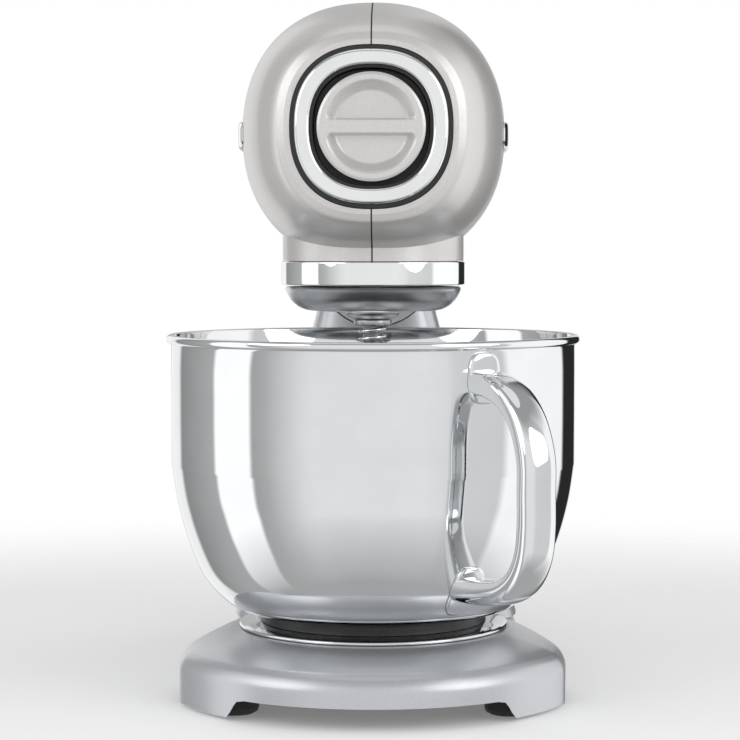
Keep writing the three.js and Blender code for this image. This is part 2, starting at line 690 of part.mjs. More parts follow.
function backCoverPrism(grow) {
  const middle = (backCover.bottom + backCover.top) / 2;
  const halfHeight = (backCover.top - backCover.bottom) / 2;
  const outline = superellipse(backCover.halfWidth + grow, halfHeight + grow, 6, 28);
  return prismY(shifted(outline, 0, middle), columnRearEnd - 11, columnRearEnd + 16);
}

function makeBackCover() {
  const levels = [backCover.bottom - 19, 110, backCover.top + 22];
  const skin = columnSolid(0, levels).subtract(columnSolid(backCover.thickness, levels));
  const rearWall = skin.intersect(backCoverPrism(0));
  return rearWall.subtract(
    bar('y', inlet.bore + GAP, columnRearEnd - 34, columnRearEnd + 26, [0, inlet.z]),
  );
}

// Rubber gland for the mains lead.
function makeCordInlet() {
  const outside = along(columnRear, inlet.z);
  const end = outside + GAP + inlet.flangeThickness;
  return turnedAlongY([
    [inlet.wire, outside - inlet.depth], [inlet.bore, outside - inlet.depth],
    [inlet.bore, outside + GAP], [inlet.flange, outside + GAP], [inlet.flange - 1.5, end],
    [inlet.wire, end],
  ], 24).translate([0, 0, inlet.z]);
}

const bushReach = column.topHalfWidth - 0.5;
const pinReach = bushReach - 0.4;

const makeHingePin = () => bar('x', hinge.pinRadius, -pinReach, pinReach, [hingeY, hingeZ], 28);

function makeHingeBush(side) {
  const inner = 22;
  const low = side < 0 ? -bushReach : inner;
  const high = side < 0 ? -inner : bushReach;
  return bar('x', bushRadius, low, high, [hingeY, hingeZ], 20)
    .subtract(bar('x', hinge.pinRadius + RUNNING, -60, 60, [hingeY, hingeZ], 20))
    .subtract(keelRoom());
}

// ---- tilt lock ----

// The wedge faces of the latch block and of the button's nose run at 45 degrees: y + z is constant.
const blockSlant = blockTop + latchY + latch.halfWidth;
const noseSlant = blockSlant + 2 * GAP;

function makeLatch() {
  const rod = bar('z', latch.rodRadius, blockBottom + 2, latchTip, [0, latchY]);
  const front = latchY - latch.halfDepth;
  const block = prismX(polygon([
    [front, blockBottom], [blockEdge, blockBottom], [blockEdge, blockSlant - blockEdge],
    [blockSlant - blockTop, blockTop], [front, blockTop],
  ]), -latch.halfWidth, latch.halfWidth);
  return block.add(rod);
}

function makeButton() {
  const { radius, halfWidth, capLength } = button;
  const outside = along(columnRear, buttonZ) + button.out;
  const inside = outside - capLength;
  const noseBottom = buttonZ - 6;
  const nose = prismX(polygon([
    [noseSlant - blockTop, blockTop], [noseSlant - noseBottom, noseBottom],
    [inside + 2, noseBottom], [inside + 2, blockTop],
  ]), -halfWidth, halfWidth);
  const cap = turnedAlongY([
    [0, inside], [radius, inside], [radius, outside - 2], [radius - 2, outside], [0, outside],
  ], 32).translate([0, 0, buttonZ]);
  return nose.add(cap);
}

// A coil spring about an upright axis, as a swept round wire.
function coil(radius, wire, bottom, top, turns, x, y) {
  const steps = Math.round(turns * 8);
  const climb = (top - bottom - 2 * wire) / steps;
  const points = Array.from({ length: steps + 1 }, (_, i) => {
    const angle = (i / 8) * FULL;
    return v3(x + radius * Math.cos(angle), y + radius * Math.sin(angle), bottom + wire + climb * i);
  });
  const path = new THREE.CatmullRomCurve3(points);
  const wireShape = new THREE.Shape(superellipse(wire, wire, 2, 4));
  const options = { steps, extrudePath: path, bevelEnabled: false };
  return solid(new THREE.ExtrudeGeometry(wireShape, options));
}

// ---- head casing ----

const headSize = [
  [head.front, 44.2], [-73, 48.4], [-66, 53.4], [-54, 59.2], [-36, 64.4], [-10, 69],
  [30, head.halfWidth], [90, 71], [150, 69.2], [200, 64.8], [235, 57.5],
  [262, 48], [280, 36.4], [head.rear, 26.5],
];
const headShape = [[head.front, 2.4], [-30, 2.32], [5, head.exponent], [head.rear, head.exponent]];

// The head's egg-shaped body, moved in by inset.
function headBody(inset, points = 28) {
  const low = head.front + Math.max(inset, 0) * 1.1;
  const high = head.rear - Math.max(inset, 0) * 1.1;
  const places = headSize.map(([y]) => THREE.MathUtils.clamp(y, low, high));
  const unique = [...new Set(places)];
  return loft(unique.map((y) => {
    const size = along(headSize, y) - inset;
    return superellipse(size, size * head.tallness, along(headShape, y), points)
      .map((p) => v3(p.x, y, head.centre + p.y));
  }));
}

// The keel under the head is round where it lies in the column and swings back in the same
// trough, so it is what all the trough's positions have in common, from rest to the full tilt.
function keelBody(inset) {
  const level = trough(keel.radius - inset, -200, 500, 600);
  let body = box(-60, 60, keelFront + inset, hingeY + 95, hingeZ - 32, keelTop)
    .intersect(level);
  for (let i = 1; i <= keel.swings; i += 1) {
    const swung = level.translate([0, -hingeY, -hingeZ])
      .rotate([hinge.tilt * i / keel.swings, 0, 0]).translate([0, hingeY, hingeZ]);
    body = body.intersect(swung);
  }
  return body;
}

function makeHeadShells() {
  const low = neckRingBottom - 20;
  const opening = superellipse(hub.opening, hub.opening, hub.squareness, 28);
  const slotHalf = lever.plateHalfWidth + GAP;
  const slotEnd = lever.plateBorder + GAP;
  const body = headBody(0)
    .add(bar('z', neck.radius, neckBottom, neckBottom + neck.rootRise, [0, 0], 32))
    .add(keelBody(0))
    .subtract(headBody(head.wall, 20))
    .subtract(bar('z', neck.radius - neck.wall, low, neckBottom + neck.holeRise, [0, 0], 32))
    .subtract(bar('z', neckRingRadius + GAP, low, neckBottom, [0, 0], 32))
    .subtract(keelBody(keel.wall))
    .subtract(prismY(shifted(opening, 0, head.centre), head.front - 15, head.front + 15))
    .subtract(bar('y', vent.radius + GAP, head.rear - 18, head.rear + 12, [0, head.centre], 24))
    .subtract(box(-slotHalf, slotHalf, lever.slotFrom - slotEnd, lever.slotTo + slotEnd,
      leverTop - lever.stemDepth, leverTop + 10))
    .subtract(bar('x', hinge.pinRadius + 1.5, -60, 60, [hingeY, hingeZ]))
    .subtract(bar('z', latch.rodRadius + 3, latchTip - 17, latchTip + 3, [0, latchY]));
  const half = head.seam / 2;
  const side = (from, to) => body.intersect(
    box(from, to, head.front - 75, head.rear + 60, low - 50, head.centre + 120),
  );
  return [side(-120, -half), side(half, 120)];
}

function makeTrim(side) {
  const band = headBody(-trim.proud).subtract(headBody(-GAP));
  const outline = superellipse(trim.length / 2, trim.height / 2, 5, 28);
  const low = side < 0 ? -90 : 40;
  const high = side < 0 ? -40 : 90;
  const middle = head.centre - trim.belowCentre;
  return band.intersect(prismX(shifted(outline, trim.centreY, middle), low, high));
}

function makeLeverPlate() {
  const { slotFrom, slotTo, slotHalfWidth, plateHalfWidth, plateBorder, plateThickness } = lever;
  return box(-plateHalfWidth, plateHalfWidth, slotFrom - plateBorder, slotTo + plateBorder,
    leverTop - plateThickness, leverTop)
    .subtract(box(-slotHalfWidth, slotHalfWidth, slotFrom, slotTo, leverTop - 9, leverTop + 2));
}

function makeLever() {
  const { knobRadius, knobHeight, stemLength, stemDepth, stemPlay } = lever;
  const y = lever.slotFrom + lever.restFrom;
  const width = lever.slotHalfWidth - stemPlay;
  const bottom = leverTop + stemPlay;
  const knob = turned([
    [0, bottom], [knobRadius - 1, bottom], [knobRadius, bottom + 1],
    [knobRadius - 0.2, bottom + 3.6], [knobRadius - 1.8, bottom + knobHeight - 1.2],
    [knobRadius - 4.8, bottom + knobHeight - 0.2], [0, bottom + knobHeight],
  ], 24).translate([0, y, 0]);
  return knob.add(box(-width, width, y - stemLength / 2, y + stemLength / 2,
    leverTop - stemDepth, bottom + 1));
}

function makeBoard() {
  const top = leverTop - lever.stemDepth - board.belowStem;
  const front = motor.frontBracket - board.clearance - board.length;
  return box(-board.halfWidth, board.halfWidth, front, front + board.length,
    top - board.thickness, top);
}

function makeVentCover() {
  const rear = head.rear + 1;
  let cover = turnedAlongY([
    [0, rear - vent.thickness], [vent.radius, rear - vent.thickness], [vent.radius, rear - 1.2],
    [vent.radius - vent.edge, rear], [0, rear + 0.6],
  ], 24).translate([0, 0, head.centre]);
  for (let k = 0; k < vent.slots; k += 1) {
    const z = head.centre + (k - (vent.slots - 1) / 2) * (2 * vent.slotWidth);
    const reach = Math.sqrt((vent.radius - vent.edge) ** 2 - (z - head.centre) ** 2);
    cover = cover.subtract(box(-reach, reach, rear - 19, rear + 11, z - vent.slotWidth / 2,
      z + vent.slotWidth / 2));
  }
  return cover;
}

// ---- attachment hub ----

function squircleRing(outer, inner, low, high) {
  const edge = shifted(superellipse(outer, outer, hub.squareness, 28), 0, head.centre);
  const hole = shifted(superellipse(inner, inner, hub.squareness, 28), 0, head.centre);
  return prismY(edge, low, high).subtract(prismY(hole, low - 1, high + 1));
}

function makeHubSurround() {
  const back = hub.surroundFront + hub.surroundDepth;
  const outline = superellipse(hub.opening - GAP, hub.opening - GAP, hub.squareness, 28);
  const coverBack = hub.coverFront + hub.coverDepth;
  return prismY(shifted(outline, 0, head.centre), hub.surroundFront, back)
    .subtract(bar('y', hub.coverRadius + hub.coverPlay, -100, coverBack + GAP + 1,
      [0, head.centre], 28))
    .subtract(bar('y', hubShaft.radius + RUNNING, -100, 0, [0, head.centre], 20));
}

function makeHubBezel() {
  const back = hub.surroundFront - GAP;
  const front = hub.bezelFront;
  return squircleRing(hub.bezelOuter, hub.bezelInner, front + 1.6, back)
    .add(squircleRing(hub.bezelOuter - 1.4, hub.bezelInner + 1.4, front, front + 2));
}

function makeHubCover() {
  const front = hub.coverFront;
  let cover = turnedAlongY([
    [0, front], [hub.coverRadius - 2, front], [hub.coverRadius, front + 2],
    [hub.coverRadius, front + hub.coverDepth], [0, front + hub.coverDepth],
  ], 36).translate([0, 0, head.centre]);
  for (const side of [-1, 1]) {
    const half = [];
    for (let i = 0; i <= 8; i += 1) {
      const angle = (i / 8) * Math.PI;
      half.push([hub.pocketHalfWidth * Math.cos(angle),
        side * (hub.barHalfHeight + hub.pocketHeight * Math.sin(angle))]);
    }
    const outline = polygon(half.map(([x, z]) => [x, z + head.centre]));
    cover = cover.subtract(prismY(outline, front - 1, front + hub.pocketDepth));
  }
  return cover;
}

function makeHubShaft() {
  const { radius, front, shoulder, rear, neckRadius, socket, socketDepth } = hubShaft;
  const end = train.shaftRadius;
  return turnedAlongY([
    [0, front], [radius, front], [radius, shoulder], [neckRadius, shoulder],
    [neckRadius, rear - 8], [end, rear - 8], [end, rear + 8], [0, rear + 8],
  ], 20).translate([0, 0, head.centre])
    .subtract(box(-socket / 2, socket / 2, front - 1, front + socketDepth,
      head.centre - socket / 2, head.centre + socket / 2));
}

// ---- gearbox ----

// The cup that holds the ring gear, with a tower above it for the upright shaft's bush.
function planetaryCup() {
  const inner = ring.outerRadius + GAP;
  const outer = neckRingInner - GAP;
  const bore = mainBore + GAP;
  const roof = ringTop + GAP;
  const towerTop = head.centre - 38;
  return turned([
    [bore, roof], [inner, roof], [inner, ringBottom - 1], [outer, ringBottom - 1],
    [outer, roof + 4], [16, roof + 6], [14, towerTop], [bore, towerTop],
  ], 28);
}

// The arm that carries the head on the hinge pin.
function hingeArm() {
  const { armHalfWidth, armBossRadius } = frame;
  const top = head.centre - frame.drop + 5;
  const outline = polygon([
    [hingeY - 37, top], [hingeY - 37, top - 22], [hingeY - 14, hingeZ - 6],
    [hingeY + 8, hingeZ - 9], [hingeY + 16, hingeZ + 6], [hingeY + 23, top],
  ]);
  return prismX(outline, -armHalfWidth, armHalfWidth)
    .add(bar('x', armBossRadius, -armHalfWidth, armHalfWidth, [hingeY, hingeZ], 20));
}

function makeGearboxHousing() {
  const { halfWidth, front, wallFrontAt, wallMidAt, wallThickness, wallRise } = frame;
  const bottom = head.centre - frame.drop;
  const top = bottom + frame.thickness;
  const wallTop = head.centre + wallRise;
  const plates = box(-halfWidth, halfWidth, front, hingeY + 25, bottom, top)
    .add(box(-30, 30, wallFrontAt, wallFrontAt + wallThickness, bottom, wallTop))
    .add(box(-36, 52, wallMidAt, wallMidAt + wallThickness, bottom, wallTop))
    .intersect(headBody(head.wall + frame.clearance, 20));
  const bearing = train.shaftRadius + RUNNING;
  return plates.subtract(bar('z', 13, bottom - 43, bottom + 57))
    .add(planetaryCup())
    .add(hingeArm())
    .subtract(bar('z', mainBore + GAP, bottom - 43, bottom + 57))
    .subtract(bar('x', hinge.pinRadius + RUNNING, -60, 60, [hingeY, hingeZ], 20))
    .subtract(bar('y', bearing, -100, 120, [spurDistance, head.centre]))
    .subtract(bar('y', bearing, -100, 120, [0, head.centre]))
    .subtract(bar('y', hubShaft.neckRadius + RUNNING, -100, 0, [0, head.centre]));
}

const makeMainBush = () => tube(
  mainShaft.radius + RUNNING, mainBore, ringTop + 2, head.centre - 38.5, 28,
);

// The fixed ring gear, with the beater's pinion inside it.
function makeRingGear() {
  const outline = gearOutline(ring.teeth, ring.module, {
    backlash: -0.2, addendum: 1.2, dedendum: 0.85, phase: -Math.PI / 2,
  });
  const hole = prismZ(new THREE.Shape(outline), ringBottom - 1, ringTop + 1);
  return bar('z', ring.outerRadius, ringBottom, ringTop, [0, 0], 32).subtract(hole);
}

function makeCrownWheel() {
  const halfTooth = Math.PI / bevel.crown;
  return bevelGear(bevel.crown, bevel.pinion, mainShaft.radius + GAP, halfTooth)
    .translate([0, 0, head.centre]);
}

// A bevel pinion on a shaft along Y, with a tooth pointing down into the crown wheel.
function makeBevelPinion(side, bore) {
  return bevelGear(bevel.pinion, bevel.crown, bore, Math.PI / 2)
    .rotate([side < 0 ? -90 : 90, 0, 0]).translate([0, 0, head.centre]);
}

function makeCarrier() {
  const { radius, flatRadius, height, bossRadius } = carrier;
  const curve = [[0.4, 0.126], [0.715, 0.378], [0.924, 0.709], [1, 0.953]].map(([out, up]) => [
    flatRadius + out * (radius - flatRadius), carrierBottom + up * height,
  ]);
  const disc = turned([
    [0, carrierBottom], [flatRadius, carrierBottom], ...curve, [radius - 0.8, carrierTop],
    [0, carrierTop],
  ], 36);
  const boss = turned([
    [0, bossBottom], [bossRadius - 3, bossBottom], [bossRadius, bossBottom + 2.2],
    [bossRadius, carrierTop - 1], [0, carrierTop - 1],
  ], 20).translate([0, -planetOffset, 0]);
  const above = carrierTop + 12;
  return disc.add(boss)
    .subtract(bar('z', mainShaft.radius + GAP, mainShaftBottom - GAP, above))
    .subtract(bar('z', beater.journalRadius + RUNNING, bossBottom - 12, above,
      [0, -planetOffset]));
}

const makeMainShaft = () => bar(
  'z', mainShaft.radius, mainShaftBottom, head.centre - mainShaft.belowCentre, [0, 0], 28,
);

function makePlanetPinion() {
  const outline = gearOutline(ring.planetTeeth, ring.module, {
    backlash: 0.2, phase: -Math.PI / 2, addendum: 0.9,
  });
  return prismZ(shifted(outline, 0, -planetOffset), ringBottom + 0.4, ringTop - 0.6)
    .subtract(bar('z', beater.journalRadius + GAP, ringBottom - 22, ringTop + 10,
      [0, -planetOffset]));
}

function makeBeaterShaft() {
  const { shaftRadius, journalRadius, collarRadius, pinRadius } = beater;
  const top = ringTop - 0.9;
  return turned([
    [0, beaterBottom], [shaftRadius - 1, beaterBottom], [shaftRadius, beaterBottom + 1.2],
    [shaftRadius, collarBottom], [collarRadius, collarBottom], [collarRadius, collarTop],
    [journalRadius, collarTop], [journalRadius, top], [0, top],
  ], 20).translate([0, -planetOffset, 0])
    .subtract(bar('x', pinRadius + GAP, -20, 20, [-planetOffset, pinHeight], 12));
}

const makeDrivePin = () => bar(
  'x', beater.pinRadius, -beater.pinLength / 2, beater.pinLength / 2,
  [-planetOffset, pinHeight], 12,
);

const makeBeaterSpring = () => coil(
  beater.coilRadius, beater.wire, collarBottom - GAP - beater.coilHeight, collarBottom - GAP,
  beater.coilTurns, 0, -planetOffset,
);

// ---- motor and gear train along Y ----

function makeArmature() {
  const { armatureRadius, stackFrom, stackTo, windingSlots, slotDepth } = motor;
  let body = tubeAlongY(train.shaftRadius + GAP, armatureRadius, stackFrom, stackTo, 24);
  for (let k = 0; k < windingSlots; k += 1) {
    const slot = box(-1.5, 1.5, stackFrom - 1, stackTo + 1, armatureRadius - slotDepth,
      armatureRadius + 2);
    body = body.subtract(slot.rotate([0, (k * 360) / windingSlots, 0]));
  }
  return body.translate([0, 0, head.centre]);
}

function makeStator() {
  const bore = motor.armatureRadius + motor.airGap;
  return tubeAlongY(bore, motor.statorRadius, motor.stackFrom, motor.stackTo, 28)
    .translate([0, 0, head.centre]);
}

// A bearing bracket across the head behind or in front of the motor.
function makeBracket(from, holes) {
  const to = from + motor.bracketDepth;
  const outline = superellipse(motor.bracketHalfWidth, motor.bracketHalfWidth, 3, 28);
  let body = prismY(shifted(outline, 0, head.centre), from, to);
  holes.forEach((x) => {
    const hole = bar('y', train.shaftRadius + RUNNING, from - 1, to + 1, [x, head.centre]);
    body = body.subtract(hole);
  });
  return body.intersect(headBody(head.wall + frame.clearance, 20));
}

function makeFan() {
  const { fanRadius, fanHubRadius, fanDepth, fanBlades } = motor;
  const from = motor.rearBracket + motor.bracketDepth + 3;
  const to = from + fanDepth;
  let body = tubeAlongY(train.shaftRadius + GAP, fanHubRadius, from, to, 24)
    .add(tubeAlongY(fanHubRadius - 1, fanRadius, from, from + 1.5, 24));
  for (let k = 0; k < fanBlades; k += 1) {
    const blade = box(-0.8, 0.8, from + 1, to, fanHubRadius - 1, fanRadius - 1);
    body = body.add(blade.rotate([0, (k * 360) / fanBlades, 0]));
  }
  return body.translate([0, 0, head.centre]);
}

const makeCommutator = () => tubeAlongY(
  train.shaftRadius + GAP, motor.commutatorRadius, motor.commutatorFrom, motor.commutatorTo, 24,
).translate([0, 0, head.centre]);

function makeBrushHolder(side) {
  const near = side * (motor.commutatorRadius + motor.brushPlay);
  const far = side * motor.brushReach;
  return box(Math.min(near, far), Math.max(near, far), motor.commutatorFrom + 3,
    motor.commutatorTo - 3, head.centre - 5, head.centre + 5);
}

const shaftAlongY = (from, to, x = 0) => bar('y', train.shaftRadius, from, to, [x, head.centre]);

// ---- colours ----

const paint = (color, roughness, metalness) => () => new THREE.MeshStandardMaterial(
  { color, roughness, metalness },
);
const headPaint = paint('#c8c2be', 0.36, 0.55);
const basePaint = paint('#b4b6b9', 0.36, 0.6);
const steel = paint('#d6d9db', 0.08, 1);
const chrome = paint('#e6e8e8', 0.04, 1);
const darkSteel = paint('#75787b', 0.3, 1);
const cast = paint('#9a9c9e', 0.5, 0.9);
const black = paint('#151617', 0.4, 0);
const rubber = paint('#1b1b1c', 0.85, 0);
const nylon = paint('#e9e6dc', 0.5, 0);
const copper = paint('#b0693f', 0.35, 1);
const green = paint('#1d5a38', 0.5, 0);
const bronze = paint('#a5854d', 0.4, 1);

// ---- assembly ----

const group = new THREE.Group();

function place(name, body, material) {
  const out = body.getMesh();
  const geometry = new THREE.BufferGeometry();
  geometry.setAttribute('position', new THREE.Float32BufferAttribute(out.vertProperties, 3));
  geometry.setIndex(new THREE.Uint32BufferAttribute(out.triVerts, 1));
  geometry.computeVertexNormals();
  const mesh = new THREE.Mesh(geometry, material());
  mesh.name = name;
  group.add(mesh);
}

function addStand() {
  const baseBody = makeBase();
  place('base_casting', baseBody, basePaint);
  place('base_bottom_plate', makeBottomPlate(), black);
  for (const [side, sign] of [['left', -1], ['right', 1]]) {
    place(`foot_front_${side}`, makeFoot(sign * foot.frontX, foot.frontY), rubber);
    place(`foot_rear_${side}`, makeFoot(sign * foot.rearX, baseRear - foot.fromRear), rubber);
    place(`hinge_bush_${side}`, makeHingeBush(sign), bronze);
  }
  place('bowl_lock_plate', makeLockPlate(), black);
  for (let k = 0; k < bowlFoot.lugs; k += 1) {
    place(`lock_plate_screw_${k + 1}`, makeLockScrew(k), darkSteel);
  }
  place('column_shell', makeColumn(baseBody), basePaint);
  place('column_back_cover', makeBackCover(), basePaint);
  place('cord_inlet', makeCordInlet(), rubber);
  place('hinge_pin', makeHingePin(), darkSteel);
  place('tilt_latch', makeLatch(), darkSteel);
  place('tilt_release_button', makeButton(), chrome);
  place('latch_spring', coil(
    spring.radius, spring.wire, springBottom, springTop, spring.turns, 0, latchY,
  ), darkSteel);
}

function addHead() {
  const [left, right] = makeHeadShells();
  place('head_shell_left', left, headPaint);
  place('head_shell_right', right, headPaint);
  place('neck_ring', tube(
    neckRingInner, neckRingRadius, neckRingBottom, neckRingTop, 40,
  ), chrome);
  place('side_trim_left', makeTrim(-1), chrome);
  place('side_trim_right', makeTrim(1), chrome);
  place('hub_surround', makeHubSurround(), black);
  place('hub_bezel', makeHubBezel(), chrome);
  place('hub_cover', makeHubCover(), headPaint);
  place('speed_slot_plate', makeLeverPlate(), chrome);
  place('speed_lever', makeLever(), chrome);
  place('vent_cover', makeVentCover(), black);
  place('control_board', makeBoard(), green);
}

function addDrive() {
  const c = head.centre;
  const { shaftRadius: r, stage1, stage2, bevelShaftFront, overhang } = train;
  const halfTooth = Math.PI / gear.pinion;
  const shaftBore = r + GAP;
  place('gearbox_housing', makeGearboxHousing(), cast);
  place('ring_gear', makeRingGear(), nylon);
  place('main_bush', makeMainBush(), bronze);
  place('main_shaft', makeMainShaft(), darkSteel);
  place('crown_wheel', makeCrownWheel(), darkSteel);
  place('planet_carrier', makeCarrier(), darkSteel);
  place('planet_pinion', makePlanetPinion(), darkSteel);
  place('beater_shaft', makeBeaterShaft(), darkSteel);
  place('beater_drive_pin', makeDrivePin(), chrome);
  place('beater_spring', makeBeaterSpring(), chrome);
  place('hub_shaft', makeHubShaft(), darkSteel);
  place('hub_bevel_pinion', makeBevelPinion(-1, shaftBore), darkSteel);
  place('drive_bevel_pinion', makeBevelPinion(1, shaftBore), darkSteel);
  place('bevel_shaft', shaftAlongY(bevelShaftFront, stage1 - 7), darkSteel);
  place('bevel_shaft_wheel', spurGear(
    gear.wheel, stage2 + 1, stage2 + gear.face, 0, c, shaftBore,
  ), nylon);
  place('layshaft', shaftAlongY(stage2 - 16, stage1 + overhang, spurDistance).add(
    spurGear(gear.pinion, stage2, stage2 + gear.face + 1, spurDistance, c, r - 1, halfTooth),
  ), darkSteel);
  place('layshaft_wheel', spurGear(
    gear.wheel, stage1 + 1, stage1 + gear.face, spurDistance, c, shaftBore,
  ), nylon);
  place('motor_shaft', shaftAlongY(stage1 - 2, motor.rearBracket + 22).add(
    spurGear(gear.pinion, stage1, stage1 + gear.face + 1, 0, c, r - 1, halfTooth),
  ), darkSteel);
  place('motor_armature', makeArmature(), copper);
  place('motor_commutator', makeCommutator(), bronze);
  place('motor_fan', makeFan(), black);
  place('motor_stator', makeStator(), darkSteel);
  place('motor_front_bracket', makeBracket(motor.frontBracket, [0, spurDistance]), cast);
  place('motor_rear_bracket', makeBracket(motor.rearBracket, [0]), cast);
  place('brush_holder_left', makeBrushHolder(-1), bronze);
  place('brush_holder_right', makeBrushHolder(1), bronze);
}

function addBowl() {
  place('bowl_shell', makeBowl(), steel);
  place('bowl_foot', makeBowlFoot(), steel);
  place('bowl_handle', makeHandle(), steel);
}

addStand();
addHead();
addDrive();
addBowl();

// The whole mixer reaches from the handle's front to the vent cover's back.
const whole = new THREE.Box3().setFromObject(group);
group.position.y = -(whole.min.y + whole.max.y) / 2;

export default group;
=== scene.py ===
"""A tilt-head stand mixer in metallic paint with a polished steel bowl, on a pale studio floor.

Shapes are worked out in millimetres from the bowl axis and the table, as the CAD frame is, and
turned into metres in the row frame when each mesh is made.
"""
import json
import math

import bmesh
import bpy
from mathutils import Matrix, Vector


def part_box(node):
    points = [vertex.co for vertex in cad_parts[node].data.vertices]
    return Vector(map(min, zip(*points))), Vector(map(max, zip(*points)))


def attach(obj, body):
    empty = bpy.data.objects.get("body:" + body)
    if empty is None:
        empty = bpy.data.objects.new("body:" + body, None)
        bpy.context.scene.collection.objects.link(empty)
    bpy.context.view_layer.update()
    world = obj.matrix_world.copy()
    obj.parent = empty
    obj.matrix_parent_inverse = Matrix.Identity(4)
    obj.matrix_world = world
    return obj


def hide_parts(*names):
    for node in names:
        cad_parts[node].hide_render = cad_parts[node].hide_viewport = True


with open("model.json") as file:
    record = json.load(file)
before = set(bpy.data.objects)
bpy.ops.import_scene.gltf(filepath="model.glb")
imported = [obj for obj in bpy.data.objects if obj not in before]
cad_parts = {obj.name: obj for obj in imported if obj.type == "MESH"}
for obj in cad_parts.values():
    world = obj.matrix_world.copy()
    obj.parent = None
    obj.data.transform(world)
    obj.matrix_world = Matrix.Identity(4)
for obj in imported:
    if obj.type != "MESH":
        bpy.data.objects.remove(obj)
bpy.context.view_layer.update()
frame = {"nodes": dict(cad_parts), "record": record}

MM = 0.001
TURN = 2 * math.pi


def mm_box(node):
    """A CAD node's box in millimetres, from the bowl axis and the table."""
    low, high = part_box(node)
    shift = Vector((0, AXIS_Y, 0))
    return (Vector(low) - shift) / MM, (Vector(high) - shift) / MM


bowl_low, bowl_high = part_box("bowl_shell")
AXIS_Y = (bowl_low[1] + bowl_high[1]) / 2
SHELL_LOW, SHELL_HIGH = mm_box("head_shell_left")
BOWL_LOW, BOWL_HIGH = mm_box("bowl_shell")
BASE_HIGH = mm_box("base_casting")[1]
COLUMN_HIGH = mm_box("column_shell")[1]
BEZEL_LOW, BEZEL_HIGH = mm_box("hub_bezel")
PIN_LOW, PIN_HIGH = mm_box("hinge_pin")
COVER_LOW, COVER_HIGH = mm_box("column_back_cover")
INLET_LOW, INLET_HIGH = mm_box("cord_inlet")
BUTTON_LOW, BUTTON_HIGH = mm_box("tilt_release_button")
LATCH_LOW = mm_box("tilt_latch")[0]

RIM_RADIUS = BOWL_HIGH.x
RIM_PROUD, RIM_DEPTH = 2.5, 4.3
GAP = 0.3
BOWL_RADIUS = RIM_RADIUS - RIM_PROUD
BOWL_WALL = 1.5
HEAD_HALF = mm_box("head_shell_right")[1].x
HEAD_Z = (BEZEL_LOW.z + BEZEL_HIGH.z) / 2
HEAD_FRONT = SHELL_LOW.y
HEAD_REAR = SHELL_HIGH.y
HINGE_Y = (PIN_LOW.y + PIN_HIGH.y) / 2
HINGE_Z = (PIN_LOW.z + PIN_HIGH.z) / 2
TILT = 50
LATCH_ROD_INSET = 6
BUTTON_Z = (BUTTON_LOW.z + BUTTON_HIGH.z) / 2
LATCH_Y = LATCH_LOW.y + LATCH_ROD_INSET
INLET_Z = (INLET_LOW.z + INLET_HIGH.z) / 2


# ---- meshes ----

def to_row(point):
    x, y, z = point
    return (x * MM, y * MM + AXIS_Y, z * MM)


def mesh_object(name, points, faces, sharp=35):
    """A smooth-shaded mesh from points in millimetres, with edges sharper than that kept."""
    mesh = bpy.data.meshes.new(name)
    mesh.from_pydata([to_row(p) for p in points], [], faces)
    mesh.validate()
    thing = bpy.data.objects.new(name, mesh)
    bpy.context.scene.collection.objects.link(thing)
    smooth(thing, sharp)
    return thing


def smooth(thing, sharp=35):
    mesh = thing.data
    mesh.polygons.foreach_set("use_smooth", [True] * len(mesh.polygons))
    mesh.set_sharp_from_angle(angle=math.radians(sharp))
    mesh.update()


def skin(name, rings, closed=False, sharp=35):
    """A closed skin over rings with the same number of points: capped, or joined end to end."""
    count = len(rings[0])
    points = [p for ring in rings for p in ring]
    faces = []
    total = len(rings)
    for r in range(total if closed else total - 1):
        a, b = r * count, ((r + 1) % total) * count
        for i in range(count):
            j = (i + 1) % count
            faces.append((a + i, a + j, b + j, b + i))
    if not closed:
        faces.append(tuple(reversed(range(count))))
        faces.append(tuple(range((total - 1) * count, total * count)))
    return mesh_object(name, points, faces, sharp)


def fix_outward(thing):
    """Turns every face outwards."""
    bm = bmesh.new()
    bm.from_mesh(thing.data)
    bmesh.ops.remove_doubles(bm, verts=bm.verts, dist=1e-7)
    bmesh.ops.recalc_face_normals(bm, faces=bm.faces)
    bm.to_mesh(thing.data)
    bm.free()
    return thing


def turned(name, profile, segments=128, axis="z", centre=(0, 0, 0), sharp=35):
    """A body of revolution: profile rows are (radius, place along the axis), closed on itself."""
    cx, cy, cz = centre
    rings = []
    for k in range(segments):
        c, s = math.cos(k / segments * TURN), math.sin(k / segments * TURN)
        ring = []
        for radius, place in profile:
            if axis == "z":
                ring.append((cx + radius * c, cy + radius * s, cz + place))
            elif axis == "y":
                ring.append((cx + radius * c, cy + place, cz + radius * s))
            else:
                ring.append((cx + place, cy + radius * c, cz + radius * s))
        rings.append(ring)
    return fix_outward(skin(name, rings, closed=True, sharp=sharp))


def rounded(profile, radius=0.6, steps=4):
    """The same closed profile with each corner rounded off."""
    out = []
    count = len(profile)
    for i, point in enumerate(profile):
        here = Vector(point)
        before = Vector(profile[i - 1]) - here
        after = Vector(profile[(i + 1) % count]) - here
        if here.x < 0.02:
            out.append(tuple(here))
            continue
        reach = min(radius, before.length * 0.45, after.length * 0.45)
        start = here + before.normalized() * reach
        end = here + after.normalized() * reach
        for k in range(steps + 1):
            t = k / steps
            p = start * (1 - t) ** 2 + here * 2 * t * (1 - t) + end * t * t
            out.append((p.x, p.y))
    return out


def superellipse(half_x, half_y, exponent, count=96):
    points = []
    for i in range(count):
        c, s = math.cos(i / count * TURN), math.sin(i / count * TURN)
        points.append((
            half_x * math.copysign(abs(c) ** (2 / exponent), c),
            half_y * math.copysign(abs(s) ** (2 / exponent), s),
        ))
    return points


